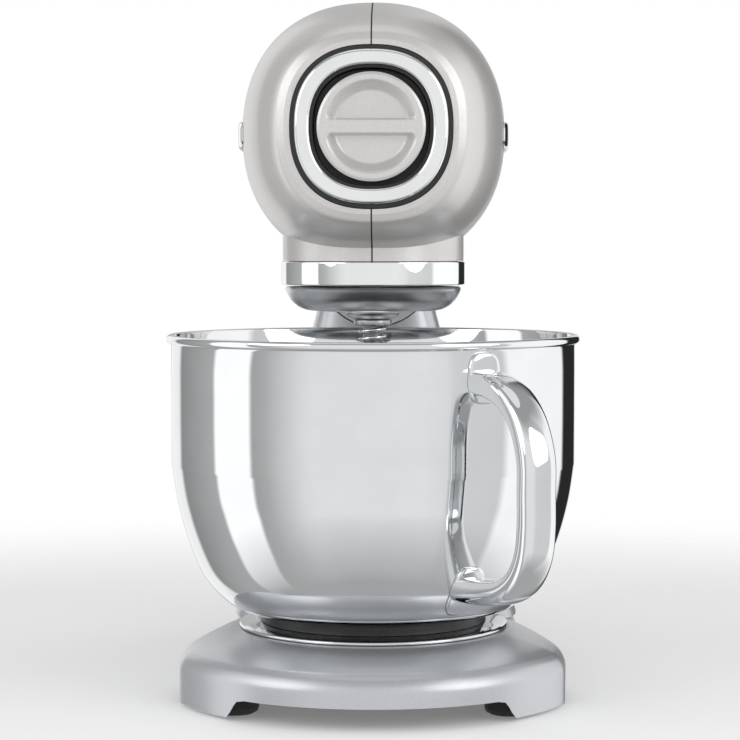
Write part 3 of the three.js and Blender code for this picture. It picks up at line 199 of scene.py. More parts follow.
def along(stations, place):
    """Smooth value between the rows (place, value)."""
    place = min(max(place, stations[0][0]), stations[-1][0])
    k = 0
    while k < len(stations) - 2 and stations[k + 1][0] < place:
        k += 1
    (p1, v1), (p2, v2) = stations[k], stations[k + 1]
    p0, v0 = stations[max(k - 1, 0)]
    p3, v3 = stations[min(k + 2, len(stations) - 1)]
    span = p2 - p1
    m1 = (v2 - v0) / (p2 - p0) if k > 0 else (v2 - v1) / span
    m2 = (v3 - v1) / (p3 - p1) if k < len(stations) - 2 else (v2 - v1) / span
    t = (place - p1) / span
    return (v1 * (1 + 2 * t) * (1 - t) ** 2 + m1 * span * t * (1 - t) ** 2
            + v2 * t * t * (3 - 2 * t) + m2 * span * t * t * (t - 1))


def smoothed(value):
    """A soft step from 0 to 1 as the value goes from 0 to 1."""
    t = min(max(value, 0), 1)
    return t * t * (3 - 2 * t)


def spread(low, high, steps):
    return [low + (high - low) * k / steps for k in range(steps + 1)]


def catmull(points, steps):
    """Points along a smooth curve through the given 2D points, evenly in parameter."""
    vectors = [Vector(p) for p in points]
    out = []
    last = len(vectors) - 1
    for k in range(last):
        p0, p1 = vectors[max(k - 1, 0)], vectors[k]
        p2, p3 = vectors[k + 1], vectors[min(k + 2, last)]
        for i in range(steps):
            t = i / steps
            out.append(0.5 * (2 * p1 + (p2 - p0) * t + (2 * p0 - 5 * p1 + 4 * p2 - p3) * t * t
                              + (3 * p1 - p0 - 3 * p2 + p3) * t ** 3))
    out.append(vectors[-1])
    return [tuple(p) for p in out]


def prism(name, outline, axis, low, high):
    """An outline pulled along one axis: (x, z) along Y, (y, z) along X, or (x, y) along Z."""
    def corner(a, b, depth):
        return {"y": (a, depth, b), "x": (depth, a, b), "z": (a, b, depth)}[axis]
    rings = [[corner(a, b, depth) for a, b in outline] for depth in (low, high)]
    return fix_outward(skin(name, rings))


def block(name, x0, x1, y0, y1, z0, z1):
    return prism(name, [(x0, z0), (x1, z0), (x1, z1), (x0, z1)], "y", y0, y1)


def boolean(target, tool, operation):
    """Changes the target's mesh by the tool's, and uses the tool up."""
    modifier = target.modifiers.new("cut", "BOOLEAN")
    modifier.operation = operation
    modifier.solver = "EXACT"
    modifier.object = tool
    result = bpy.data.meshes.new_from_object(
        target.evaluated_get(bpy.context.evaluated_depsgraph_get()))
    target.modifiers.remove(modifier)
    target.data = result
    bpy.data.objects.remove(tool)
    return target


def cut(target, tool):
    return boolean(target, tool, "DIFFERENCE")


def join(target, tool):
    return boolean(target, tool, "UNION")


def keep_common(target, tool):
    return boolean(target, tool, "INTERSECT")


def combined(name, things, sharp=35):
    """Several closed meshes as the loose parts of one object."""
    points, faces = [], []
    for thing in things:
        start = len(points)
        points += [tuple(v.co) for v in thing.data.vertices]
        faces += [tuple(start + i for i in p.vertices) for p in thing.data.polygons]
        bpy.data.objects.remove(thing)
    mesh = bpy.data.meshes.new(name)
    mesh.from_pydata(points, [], faces)
    whole = bpy.data.objects.new(name, mesh)
    bpy.context.scene.collection.objects.link(whole)
    smooth(whole, sharp)
    return whole


def rod(name, radius, low, high, segments=48, axis="z", centre=(0, 0, 0)):
    """A plain round tool for bores and holes."""
    profile = [(0, low), (radius, low), (radius, high), (0, high)]
    return turned(name, profile, segments, axis, centre)


# ---- materials ----

def node_material(name, color, metallic, roughness, **settings):
    material = bpy.data.materials.new(name)
    material.use_nodes = True
    shader = material.node_tree.nodes["Principled BSDF"]
    shader.inputs["Base Color"].default_value = (*color, 1)
    shader.inputs["Metallic"].default_value = metallic
    shader.inputs["Roughness"].default_value = roughness
    for key, value in settings.items():
        shader.inputs[key.replace("_", " ")].default_value = value
    return material, material.node_tree, shader


# Noise values lie mostly between these, and colours change over a narrower range.
NOISE_LOW, NOISE_HIGH = 0.3, 0.7
TONE_LOW, TONE_HIGH = 0.35, 0.65


def noise(tree, scale, detail=2.0, stretch=(1, 1, 1)):
    """Noise in object space, in cells per metre."""
    where = tree.nodes.new("ShaderNodeTexCoord")
    mapping = tree.nodes.new("ShaderNodeMapping")
    mapping.inputs["Scale"].default_value = stretch
    texture = tree.nodes.new("ShaderNodeTexNoise")
    texture.inputs["Scale"].default_value = scale
    texture.inputs["Detail"].default_value = detail
    tree.links.new(where.outputs["Object"], mapping.inputs["Vector"])
    tree.links.new(mapping.outputs["Vector"], texture.inputs["Vector"])
    return texture.outputs["Fac"]


def spread_values(tree, source, low, high):
    """Maps a noise's middle range to low..high."""
    ranged = tree.nodes.new("ShaderNodeMapRange")
    ranged.inputs["From Min"].default_value = NOISE_LOW
    ranged.inputs["From Max"].default_value = NOISE_HIGH
    ranged.inputs["To Min"].default_value = low
    ranged.inputs["To Max"].default_value = high
    tree.links.new(source, ranged.inputs["Value"])
    return ranged.outputs["Result"]


def mixed_color(tree, source, dark, light):
    ramp = tree.nodes.new("ShaderNodeValToRGB")
    ramp.color_ramp.elements[0].position = TONE_LOW
    ramp.color_ramp.elements[0].color = (*dark, 1)
    ramp.color_ramp.elements[1].position = TONE_HIGH
    ramp.color_ramp.elements[1].color = (*light, 1)
    tree.links.new(source, ramp.inputs["Fac"])
    return ramp.outputs["Color"]


def bump(tree, shader, source, distance, strength=1.0):
    bumper = tree.nodes.new("ShaderNodeBump")
    bumper.inputs["Strength"].default_value = strength
    bumper.inputs["Distance"].default_value = distance
    tree.links.new(source, bumper.inputs["Height"])
    tree.links.new(bumper.outputs["Normal"], shader.inputs["Normal"])


def metallic_paint(name, color, metallic=0.55, roughness=0.36):
    """Fine aluminium flakes under a thin clear coat, with faint orange peel."""
    flake_cells, mottle_cells, peel_cells = 2600, 1800, 420
    peel_height = 0.00003
    material, tree, shader = node_material(
        name, color, metallic, roughness, Coat_Weight=0.25, Coat_Roughness=0.2)
    flakes = noise(tree, flake_cells, 1.0)
    dark = tuple(c * 0.93 for c in color)
    light = tuple(min(1, c * 1.06) for c in color)
    tree.links.new(mixed_color(tree, flakes, dark, light), shader.inputs["Base Color"])
    tree.links.new(
        spread_values(tree, noise(tree, mottle_cells, 1.0), roughness - 0.05, roughness + 0.05),
        shader.inputs["Roughness"])
    bump(tree, shader, noise(tree, peel_cells, 2.0), peel_height, 0.5)
    return material


def metal(name, color, roughness, grain=(1, 1, 1), scale=900, vary=0.03, depth=0.00001):
    """Bare metal, with its roughness and tone uneven along the grain."""
    material, tree, shader = node_material(name, color, 1.0, roughness)
    marks = noise(tree, scale, 3.0, grain)
    tree.links.new(
        spread_values(tree, marks, max(roughness - vary, 0.01), roughness + vary),
        shader.inputs["Roughness"])
    dark = tuple(c * 0.96 for c in color)
    tree.links.new(mixed_color(tree, noise(tree, 40, 2.0), dark, color),
                   shader.inputs["Base Color"])
    if depth:
        bump(tree, shader, marks, depth, 0.4)
    return material


def moulded(name, color, roughness, scale=1500, depth=0.00005):
    """Moulded plastic or rubber with a fine grained surface."""
    material, tree, shader = node_material(name, color, 0.0, roughness)
    grain = noise(tree, scale, 4.0)
    tree.links.new(spread_values(tree, grain, roughness - 0.08, roughness + 0.08),
                   shader.inputs["Roughness"])
    light = tuple(min(1, c * 1.25 + 0.004) for c in color)
    tree.links.new(mixed_color(tree, noise(tree, 160, 3.0), color, light),
                   shader.inputs["Base Color"])
    bump(tree, shader, grain, depth, 0.6)
    return material


FINISH = {
    "head_paint": metallic_paint("warm_silver_paint", (0.68, 0.665, 0.655)),
    "base_paint": metallic_paint("cool_silver_paint", (0.56, 0.575, 0.60), 0.65, 0.34),
    "polished_steel": metal("polished_steel", (0.80, 0.815, 0.825), 0.045, (1, 1, 6), 700, 0.012,
                            0.0),
    "chrome": metal("chrome", (0.88, 0.89, 0.895), 0.03, vary=0.01, depth=0.0),
    "satin_metal": metal("satin_metal", (0.80, 0.81, 0.82), 0.3, (1, 1, 8), 500, 0.02, 0.0),
    "steel_dark": metal("machined_steel", (0.46, 0.47, 0.48), 0.26, (8, 1, 8), 400),
    "cast_metal": metal("cast_aluminium", (0.5, 0.505, 0.51), 0.5, scale=500, vary=0.1,
                        depth=0.0001),
    "bronze": metal("sintered_bronze", (0.6, 0.44, 0.24), 0.4, scale=1200, vary=0.08),
    "copper": metal("enamelled_copper", (0.62, 0.3, 0.16), 0.3, (1, 30, 1), 120, 0.08, 0.0001),
    "rubber": moulded("black_rubber", (0.018, 0.018, 0.018), 0.75),
    "black_plastic": moulded("black_plastic", (0.012, 0.012, 0.013), 0.4),
    "nylon": moulded("white_nylon", (0.74, 0.72, 0.66), 0.5),
    "board": moulded("green_board", (0.03, 0.14, 0.06), 0.45),
}


def finish_piece(piece, slot, body, *nodes):
    piece.data.materials.clear()
    piece.data.materials.append(FINISH[slot])
    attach(piece, body)
    if nodes:
        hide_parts(*nodes)
    return piece


def paint_cad_nodes():
    """Each CAD node that is still shown gets its slot's finish."""
    for row in frame["record"]["subparts"]:
        thing = frame["nodes"][row["node"]]
        thing.data.materials.clear()
        thing.data.materials.append(FINISH[row["material_slot"]])


# ---- base ----

BASE_SIDE = [(-45, 100.4), (-18, BASE_HIGH.x), (0, 100), (30, 92), (60, 84), (78, 83), (120, 83)]
BASE_FRONT = 110
BASE_CORNER = 46
BASE_WALL, BASE_CAVITY = 4, 20
DECK, SEAT, SEAT_RADIUS = 24.4, 36.5, 72.5
RECESS_RADIUS, RECESS_FLOOR = 69.5, 29
# The openings between the legs: across the front, and along each side.
ARCH_FRONT, ARCH_SIDE = (-66, 66), (-30, 148)


def base_outline(inset=0.0):
    side_from, side_to = BASE_SIDE[0][0], BASE_SIDE[-1][0]
    front_angle = math.acos(-side_from / BASE_FRONT)
    half = [(BASE_FRONT * math.sin(a), -BASE_FRONT * math.cos(a))
            for a in spread(0, front_angle, 36)]
    half += [(along(BASE_SIDE, y), y) for y in spread(side_from, side_to, 40)[1:]]
    cx, cy = BASE_SIDE[-1][1] - BASE_CORNER, BASE_HIGH.y - BASE_CORNER
    half += [(cx + BASE_CORNER * math.cos(a), cy + BASE_CORNER * math.sin(a))
             for a in spread(0, TURN / 4, 20)]
    both = half + [(-x, y) for x, y in reversed(half[1:])]
    out = []
    for x, y in both:
        reach = math.hypot(x, y)
        out.append((x * (reach - inset) / reach, y * (reach - inset) / reach))
    return out


def arch_outline(low, high):
    """The opening between two legs, with an S-shaped shoulder at each side."""
    side = [(7.6, -5), (7.6, 1.2), (7.0, 2.6), (5.2, 5.2), (3.4, 8.6), (1.8, 10.8), (-2, 11.7)]
    left = [(low - x, z) for x, z in side]
    right = [(high + x, z) for x, z in reversed(side)]
    return left + right


# The casting's edge, as (inset, height), and its dome, as shares of the way out from the seat and
# up to it: full under the bowl, and a lower deck where the column stands.
FRONT_EDGE = [(1.4, 1.2), (0.3, 1.9), (0, 3.2), (0, 12), (0, 18.6), (0.5, 21.4), (1.6, 23.8),
              (3.2, 26), (5.9, 28.2)]
REAR_EDGE = [(1.4, 1.2), (0.3, 1.9), (0, 3.2), (0, 12), (0.5, 16), (2.2, 19.9), (5.2, 22.5),
             (9.6, 23.9), (16, DECK)]
FRONT_DOME = [(0.94, 0.09), (0.82, 0.28), (0.64, 0.50), (0.42, 0.73), (0.2, 0.91), (0.06, 0.985),
              (0, 1)]
REAR_DOME = [(1, 0.02), (0.84, 0.12), (0.62, 0.38), (0.4, 0.70), (0.2, 0.92), (0.06, 0.995),
             (0, 1)]
DOME_FOOT, DECK_SHOULDER = 100, 16
# The front shape passes into the rear one over this stretch, from front to back.
BLEND_FROM, BLEND_LENGTH = 25, 50


def base_rings():
    """Level rings from the edge of the casting up to the bowl's seat."""
    rings = []
    outline = base_outline()

    def ring(front_at, rear_at):
        out = []
        for x, y in outline:
            reach = math.hypot(x, y)
            rear = smoothed((y - BLEND_FROM) / BLEND_LENGTH)
            (r1, z1), (r2, z2) = front_at(reach), rear_at(reach)
            scale = (r1 + (r2 - r1) * rear) / reach
            out.append((x * scale, y * scale, z1 + (z2 - z1) * rear))
        rings.append(out)

    for front, rear in zip(catmull(FRONT_EDGE, 4), catmull(REAR_EDGE, 4)):
        ring(lambda r, f=front: (r - f[0], f[1]), lambda r, b=rear: (r - b[0], b[1]))
    inset, start = FRONT_EDGE[-1]
    for front, rear in zip(catmull(FRONT_DOME, 4), catmull(REAR_DOME, 4)):
        ring(lambda r, f=front: (SEAT_RADIUS + f[0] * (r - inset - SEAT_RADIUS),
                                 start + f[1] * (SEAT - start)),
             lambda r, b=rear: (
                 SEAT_RADIUS + b[0] * (min(r - DECK_SHOULDER, DOME_FOOT) - SEAT_RADIUS) * 0.999,
                 DECK + b[1] * (SEAT - DECK)))
    return rings


def make_base():
    body = fix_outward(skin("base_body", base_rings(), sharp=40))
    cut(body, prism("hollow", base_outline(BASE_WALL), "z", -5, BASE_CAVITY))
    cut(body, rod("recess", RECESS_RADIUS, RECESS_FLOOR, 60, 96))
    cut(body, prism("arch_across", arch_outline(*ARCH_FRONT), "y", -200, 300))
    cut(body, prism("arch_between", arch_outline(*ARCH_SIDE), "x", -200, 200))
    smooth(body, 32)
    return finish_piece(body, "base_paint", "stand", "base_casting")


def make_feet():
    for node in ("foot_front_left", "foot_front_right", "foot_rear_left", "foot_rear_right"):
        low, high = mm_box(node)
        radius = (high.x - low.x) / 2
        profile = rounded([(0, 0), (radius - 2.5, 0), (radius - 2.2, 0.9), (radius - 0.8, 0.9),
                           (radius, 3), (radius - 1, high.z), (0, high.z)], 0.7)
        centre = ((low.x + high.x) / 2, (low.y + high.y) / 2, 0)
        foot = turned(node + "_rubber", profile, 64, centre=centre)
        finish_piece(foot, "rubber", "stand", node)


# ---- column ----

COLUMN_FOOT, COLUMN_TOP = 24.7, 216
COLUMN_FRONT = [(COLUMN_FOOT, 79), (33, 84), (60, 98), (110, 110.5), (160, 114.6), (190, 115),
                (COLUMN_TOP, 115)]
COLUMN_REAR = [(COLUMN_FOOT, BASE_HIGH.y - 1), (110, 211), (190, 207.5), (COLUMN_TOP, 206.5)]
COLUMN_TAPER, COLUMN_TOP_HALF = 0.269, 34.9
COLUMN_WALL = 4
KEEL_RADIUS, KEEL_CENTRE, KEEL_PLAY, KEEL_FRONT = 33.7, 227, 0.7, 115.4
KEEL_WALL, KEEL_TOP = 3, 262


def column_half(z):
    return max(COLUMN_HIGH.x - COLUMN_TAPER * (z - COLUMN_FOOT), COLUMN_TOP_HALF)


def column_skin(name, inset, levels, count=112):
    rings = []
    for z in levels:
        front, rear = along(COLUMN_FRONT, z) + inset, along(COLUMN_REAR, z) - inset
        section = superellipse(column_half(z) - inset, (rear - front) / 2, 5, count)
        rings.append([(x, y + (front + rear) / 2, z) for x, y in section])
    return fix_outward(skin(name, rings, sharp=40))


def trough(name, low, high):
    """The round-bottomed channel that the head's keel lies in."""
    radius, top = KEEL_RADIUS + KEEL_PLAY, 320
    outline = [(radius, top)]
    outline += [(radius * math.cos(a), KEEL_CENTRE + radius * math.sin(a))
                for a in spread(0, -TURN / 2, 48)]
    outline.append((-radius, top))
    return prism(name, outline, "y", low, high)


def rear_cut_outline():
    """What is cut from behind the hinge, so that the head's tail can come down."""
    top, z = COLUMN_HIGH.z + 20, HINGE_Z + 6
    return [(HINGE_Y + 6, top), (HINGE_Y + 6, z), (HINGE_Y + 24, 203), (209, 185), (260, 183),
            (260, top)]


def make_column():
    body = column_skin("column_body", 0, spread(COLUMN_FOOT, COLUMN_TOP - 0.1, 48))
    cut(body, column_skin("hollow", COLUMN_WALL, spread(20, 182, 16), 64))
    cut(body, trough("trough", 60, 260))
    cut(body, prism("rear_slope", rear_cut_outline(), "x", -80, 80))
    cut(body, rod("pin_bore", 8.6, -60, 60, 48, "x", (0, HINGE_Y, HINGE_Z)))
    cut(body, rod("latch_bore", 4.6, 150, 230, 32, centre=(0, LATCH_Y, 0)))
    cut(body, rod("button_bore", BUTTON_HIGH.x + 0.4, 190, 240, 64, "y", (0, 0, BUTTON_Z)))
    cut(body, cover_prism("cover_hole", 0.35, 203, 230))
    out_gap, up_gap = 0.4, 0.35
    dome = [(SEAT_RADIUS + out * (DOME_FOOT - SEAT_RADIUS) + out_gap,
             DECK + up * (SEAT - DECK) + up_gap) for out, up in catmull(REAR_DOME, 4)]
    room = [(0, 10), (DOME_FOOT + out_gap, 10)] + dome + [(0, SEAT + up_gap)]
    cut(body, turned("dome_room", room, 96))
    smooth(body, 30)
    return finish_piece(body, "base_paint", "stand", "column_shell")


def cover_prism(name, grow, low, high):
    """The back cover's outline with round corners, pulled through the column's rear wall."""
    middle = (COVER_LOW.z + COVER_HIGH.z) / 2
    half = (COVER_HIGH.z - COVER_LOW.z) / 2
    outline = [(x, z + middle) for x, z in superellipse(
        COVER_HIGH.x + grow, half + grow, 6, 96)]
    return prism(name, outline, "y", low, high)


def make_back_cover():
    levels = spread(33, 160, 24)
    plate = column_skin("back_cover", 0.05, levels)
    cut(plate, column_skin("cover_inside", 2.4, spread(30, 163, 24)))
    keep_common(plate, cover_prism("cover_edge", 0, 203, 230))
    slots, first_slot, slot_pitch = 5, 18, 6
    for k in range(slots):
        z = COVER_HIGH.z - first_slot - slot_pitch * k
        slot_outline = [(x, y + z) for x, y in superellipse(15, 1.2, 5, 32)]
        cut(plate, prism("slot", slot_outline, "y", 195, 230))
    cut(plate, rod("gland_hole", 7.3, 180, 240, 48, "y", (0, 0, INLET_Z)))
    smooth(plate, 30)
    return finish_piece(plate, "base_paint", "stand", "column_back_cover")


def make_inlet():
    inner, outer = INLET_LOW.y, INLET_HIGH.y
    profile = rounded([(3.6, inner), (7, inner), (7, outer - 2.5), (INLET_HIGH.x, outer - 2.5),
                       (INLET_HIGH.x - 1.5, outer), (3.6, outer)], 0.8)
    gland = turned("lead_gland", profile, 64, "y", (0, 0, INLET_Z))
    return finish_piece(gland, "rubber", "stand", "cord_inlet")


def make_button():
    end = BUTTON_HIGH.y
    profile = rounded([(0, 190), (10, 190), (10, end - 1.6), (8.6, end), (6.5, end - 0.1),
                       (0, end - 1.3)], 1.0)
    cap = turned("release_cap", profile, 72, "y", (0, 0, BUTTON_Z))
    nose_z = (BUTTON_LOW.z + 4, BUTTON_HIGH.z - 2)
    # The nose ends in a 45 degree wedge: the y and z of each point on it add up to this.
    wedge = LATCH_Y + 7 + 170 + 0.6
    nose = prism("nose", [(wedge - nose_z[1], nose_z[1]), (wedge - nose_z[0], nose_z[0]),
                          (191, nose_z[0]), (191, nose_z[1])], "x", -6, 6)
    join(cap, nose)
    smooth(cap, 30)
    return finish_piece(cap, "chrome", "release_button", "tilt_release_button")


# ---- head ----

HEAD_SIZE = [(HEAD_FRONT, 44.2), (-73, 48.4), (-66, 53.4), (-54, 59.2), (-36, 64.4), (-10, 69),
             (30, HEAD_HALF), (90, 71), (150, 69.2), (200, 64.8), (235, 57.5), (262, 48),
             (280, 36.4), (HEAD_REAR, 26.5)]
HEAD_SHAPE = [(HEAD_FRONT, 2.4), (-30, 2.32), (5, 2.22), (HEAD_REAR, 2.22)]
TALLNESS = 0.995
HEAD_WALL = 3.1
HUB_OPENING = 41.3
NECK_RADIUS, NECK_BOTTOM, NECK_WALL = 48.4, 232.3, 3
SEAM = 0.8
SQUARENESS = 2.35


def head_size(y):
    return along(HEAD_SIZE, y) - 0.02


def head_body(name, inset, rings=90, count=144):
    low = HEAD_FRONT + inset * 1.1
    high = HEAD_REAR - inset * 1.1
    front = [low + (20 * (k / 24) ** 2) for k in range(24)]
    places = front + spread(low + 20, high, rings - 24)
    out = []
    for y in places:
        size = head_size(y) - inset
        section = superellipse(size, size * TALLNESS, along(HEAD_SHAPE, y), count)
        out.append([(x, y, HEAD_Z + z) for x, z in section])
    return fix_outward(skin(name, out, sharp=50))


def keel_body(name, inset):
    """Round below, and swept back about the hinge so that it clears the column as it swings."""
    radius = KEEL_RADIUS - inset
    tilt = math.radians(TILT)
    c, s = math.cos(tilt), math.sin(tilt)
    front, top = KEEL_FRONT + inset, KEEL_TOP + inset
    rings = []
    for k in range(49):
        x = -radius * math.cos(k / 48 * TURN / 2)
        low = KEEL_CENTRE - math.sqrt(max(radius ** 2 - x ** 2, 0.0001))
        drop = HINGE_Z - low
        if drop > 0:
            corner = [(HINGE_Y + drop * math.sin(a), HINGE_Z - drop * math.cos(a))
                      for a in spread(0, tilt, 16)]
        else:
            corner = [(HINGE_Y + drop * math.tan(tilt / 2), low)] * 17
        y, z = corner[-1]
        end = (y + (top - z) * c / s, top)
        path = [(front, top), (front, low)] + corner + [end]
        rings.append([(x, y, z) for y, z in path])
    return fix_outward(skin(name, rings))


def weld(thing):
    """Joins the doubled points a cut leaves, so that the next one starts from a closed body."""
    bm = bmesh.new()
    bm.from_mesh(thing.data)
    bmesh.ops.remove_doubles(bm, verts=bm.verts, dist=2e-6)
    bmesh.ops.dissolve_degenerate(bm, edges=bm.edges, dist=2e-6)
    bm.to_mesh(thing.data)
    bm.free()
    return thing


def make_head_shells():
    body = head_body("head_body", 0)
    neck = [(0, NECK_BOTTOM), (NECK_RADIUS, NECK_BOTTOM), (NECK_RADIUS, 268), (0, 268)]
    join(body, turned("neck", neck, 144))
    join(body, keel_body("keel", 0))
    cut(body, head_body("hollow", HEAD_WALL, 60, 80))
    inside, under, sill = NECK_RADIUS - NECK_WALL, NECK_RADIUS + 1, NECK_BOTTOM + 0.05
    neck_hole = [(0, 200), (under, 200), (under, sill), (inside, sill), (inside, 262), (0, 262)]
    cut(body, turned("neck_hole", neck_hole, 97))
    weld(body)
    cut(body, keel_body("keel_hollow", KEEL_WALL))
    opening = [(x, z + HEAD_Z) for x, z in superellipse(HUB_OPENING, HUB_OPENING, SQUARENESS, 128)]
    cut(body, prism("hub_opening", opening, "y", -90, -60))
    cut(body, rod("vent_hole", 22.3, 270, 300, 96, "y", (0, 0, HEAD_Z)))
    low, high = mm_box("speed_slot_plate")
    cut(body, block("lever_slot", low.x - GAP, high.x + GAP, low.y - GAP, high.y + GAP,
                    low.z - 20, high.z + 10))
    cut(body, rod("pin_holes", 7.5, -60, 60, 48, "x", (0, HINGE_Y, HINGE_Z)))
    cut(body, rod("latch_hole", 7.2, 180, 200, 32, centre=(0, LATCH_Y, 0)))
    weld(body)
    for side, low, high in (("left", -120, -SEAM / 2), ("right", SEAM / 2, 120)):
        half = body.copy()
        half.data = body.data.copy()
        half.name = f"casing_{side}"
        bpy.context.scene.collection.objects.link(half)
        keep_common(half, block("half", low, high, -150, 350, 150, 420))
        smooth(half, 38)
        finish_piece(half, "head_paint", "head", f"head_shell_{side}")
    keep_common(body, block("middle", -SEAM / 2 + 0.05, SEAM / 2 - 0.05, -150, 350, 150, 420))
    body.name = "seam_gasket"
    smooth(body, 38)
    finish_piece(body, "rubber", "head")


def squircle_ring(name, rows, count=160):
    """A ring about the hub axis: rows are (half width, y), closed on themselves."""
    rings = []
    for half, y in rows:
        section = superellipse(half, half, SQUARENESS, count)
        rings.append([(x, y, z + HEAD_Z) for x, z in section])
    return fix_outward(skin(name, rings, closed=True, sharp=40))


def make_hub():
    front = BEZEL_LOW.y
    surround_low, surround_high = mm_box("hub_surround")
    outer, pocket, shaft_hole = surround_high.x, 29.5, 9.3
    pocket_floor = surround_low.y + 9
    rows = rounded([(outer, surround_low.y), (outer, surround_high.y),
                    (shaft_hole, surround_high.y), (shaft_hole, pocket_floor),
                    (pocket, pocket_floor), (pocket, surround_low.y)], 0.4)
    finish_piece(squircle_ring("hub_liner", rows), "black_plastic", "head", "hub_surround")
    bezel = BEZEL_HIGH.x
    bore, back = 31, -75.6
    rows = catmull([(bezel, back), (bezel, front + 2), (bezel - 0.5, front + 0.7),
                    (bezel - 1.5, front + 0.1), (bezel - 3, front), (bore + 2, front + 0.05),
                    (bore + 0.7, front + 0.5), (bore, front + 1.8), (bore, back)], 5)
    finish_piece(squircle_ring("hub_trim_ring", rows), "chrome", "head", "hub_bezel")
    make_hub_cover()


def make_hub_cover():
    """The round cover: two half-round pockets, with a long slope outside, and a bar between."""
    low, high = mm_box("hub_cover")
    radius = high.x
    bar_half, bar_slope = 2.9, 1.4
    pocket, slope, depth, corner = 24.2, 6.4, 5.4, 5
    edge = 1.6
    segments, steps = 288, 119
    rings = []
    for r in spread(0, radius - edge, steps):
        ring = []
        for i in range(segments):
            angle = i / segments * TURN
            x, z = max(r, 0.02) * math.cos(angle), max(r, 0.02) * math.sin(angle)
            outside, bar = pocket - r, abs(z) - bar_half
            reach = min(outside / corner, bar / corner)
            if outside < corner and bar < corner:
                reach = 1 - math.hypot(1 - outside / corner, 1 - bar / corner)
            share = smoothed(outside / slope) * smoothed(bar / bar_slope)
            share *= smoothed(reach * 4)
            ring.append((x, low.y + depth * share, z + HEAD_Z))
        rings.append(ring)
    for r, y in catmull([(radius - edge, low.y + 0.05), (radius - 0.5, low.y + 0.6),
                         (radius, low.y + 2), (radius, high.y)], 4):
        rings.append([(r * math.cos(i / segments * TURN), y,
                       HEAD_Z + r * math.sin(i / segments * TURN)) for i in range(segments)])
    cover = fix_outward(skin("hub_cap", rings, sharp=50))
    finish_piece(cover, "head_paint", "hub_cap", "hub_cover")


def make_side_trims():
    """A plain plated bar along each side, standing a little proud of the paint."""
    for side, sign in (("left", -1), ("right", 1)):
        low, high = mm_box(f"side_trim_{side}")
        half_y, half_z = (high.y - low.y) / 2, (high.z - low.z) / 2
        mid_y, mid_z = (high.y + low.y) / 2, (high.z + low.z) / 2

        def at(share, i, proud):
            outline = superellipse(half_y, half_z, 5, 160)[i]
            y, z = mid_y + outline[0] * share, mid_z + outline[1] * share
            size = head_size(y)
            tall = size * TALLNESS
            n = along(HEAD_SHAPE, y)
            x = size * (1 - abs((z - HEAD_Z) / tall) ** n) ** (1 / n)
            return (sign * (x + proud), y, z)

        shape = [(0.05, 2.35), (0.5, 2.35), (0.8, 2.3), (0.9, 2.1), (0.96, 1.6), (1, 0.8),
                 (1, 0.2), (0.05, 0.2)]
        rings = [[at(s, i, p) for i in range(160)] for s, p in shape]
        finish_piece(fix_outward(skin(f"trim_bar_{side}", rings, sharp=50)), "chrome", "head",
                     f"side_trim_{side}")


def make_neck_ring():
    low, high = mm_box("neck_ring")
    outer, inner = high.x, 45.4
    profile = rounded([(inner, low.z), (outer, low.z), (outer, high.z), (inner, high.z)], 0.8)
    finish_piece(turned("neck_trim", profile, 192), "chrome", "head", "neck_ring")


def make_lever():
    low, high = mm_box("speed_lever")
    middle = ((low.x + high.x) / 2, (low.y + high.y) / 2)
    top = high.z
    profile = catmull([(0, top - 6.8), (6, top - 6.8), (7.2, top - 5.8), (7.3, top - 3.6),
                       (5.8, top - 1.2), (2.6, top - 0.1), (0, top)], 6)
    knob = turned("speed_knob", profile, 72, centre=(*middle, 0))
    join(knob, block("stem", -2.5, 2.5, middle[1] - 4, middle[1] + 4, low.z, top - 5))
    smooth(knob, 30)
    finish_piece(knob, "chrome", "speed_control", "speed_lever")
    low, high = mm_box("speed_slot_plate")
    mid_y, half_y = (low.y + high.y) / 2, (high.y - low.y) / 2
    slot_half, slot_end = 3, 6
    outline = [(x, y + mid_y) for x, y in superellipse(high.x, half_y, 8, 96)]
    plate = prism("speed_plate", outline, "z", low.z, high.z - 0.4)
    slot = [(x, y + mid_y) for x, y in superellipse(slot_half, half_y - slot_end, 8, 64)]
    cut(plate, prism("slot", slot, "z", low.z - 5, high.z + 5))
    smooth(plate, 30)
    finish_piece(plate, "chrome", "head", "speed_slot_plate")


def make_vent():
    low, high = mm_box("vent_cover")
    rear, radius = high.y, high.x
    profile = rounded([(0, low.y), (radius, low.y), (radius, rear - 1.8), (radius - 4, rear - 0.6),
                       (0, rear)], 1.0)
    grille = turned("vent_grille", profile, 96, "y", (0, 0, HEAD_Z))
    slots, slot_pitch = 7, 4.6
    for k in range(slots):
        z = HEAD_Z + (k - slots // 2) * slot_pitch
        reach = math.sqrt((radius - 4) ** 2 - (z - HEAD_Z) ** 2)
        outline = [(x, y + z) for x, y in superellipse(reach, 1.1, 6, 40)]
        cut(grille, prism("slot", outline, "y", 270, 300))
    smooth(grille, 30)
    finish_piece(grille, "black_plastic", "head", "vent_cover")


# ---- planetary disc and beater shaft ----

SHAFT_LOW, SHAFT_HIGH = mm_box("beater_shaft")
SHAFT_Y = (SHAFT_LOW.y + SHAFT_HIGH.y) / 2
CARRIER_LOW, CARRIER_HIGH = mm_box("planet_carrier")


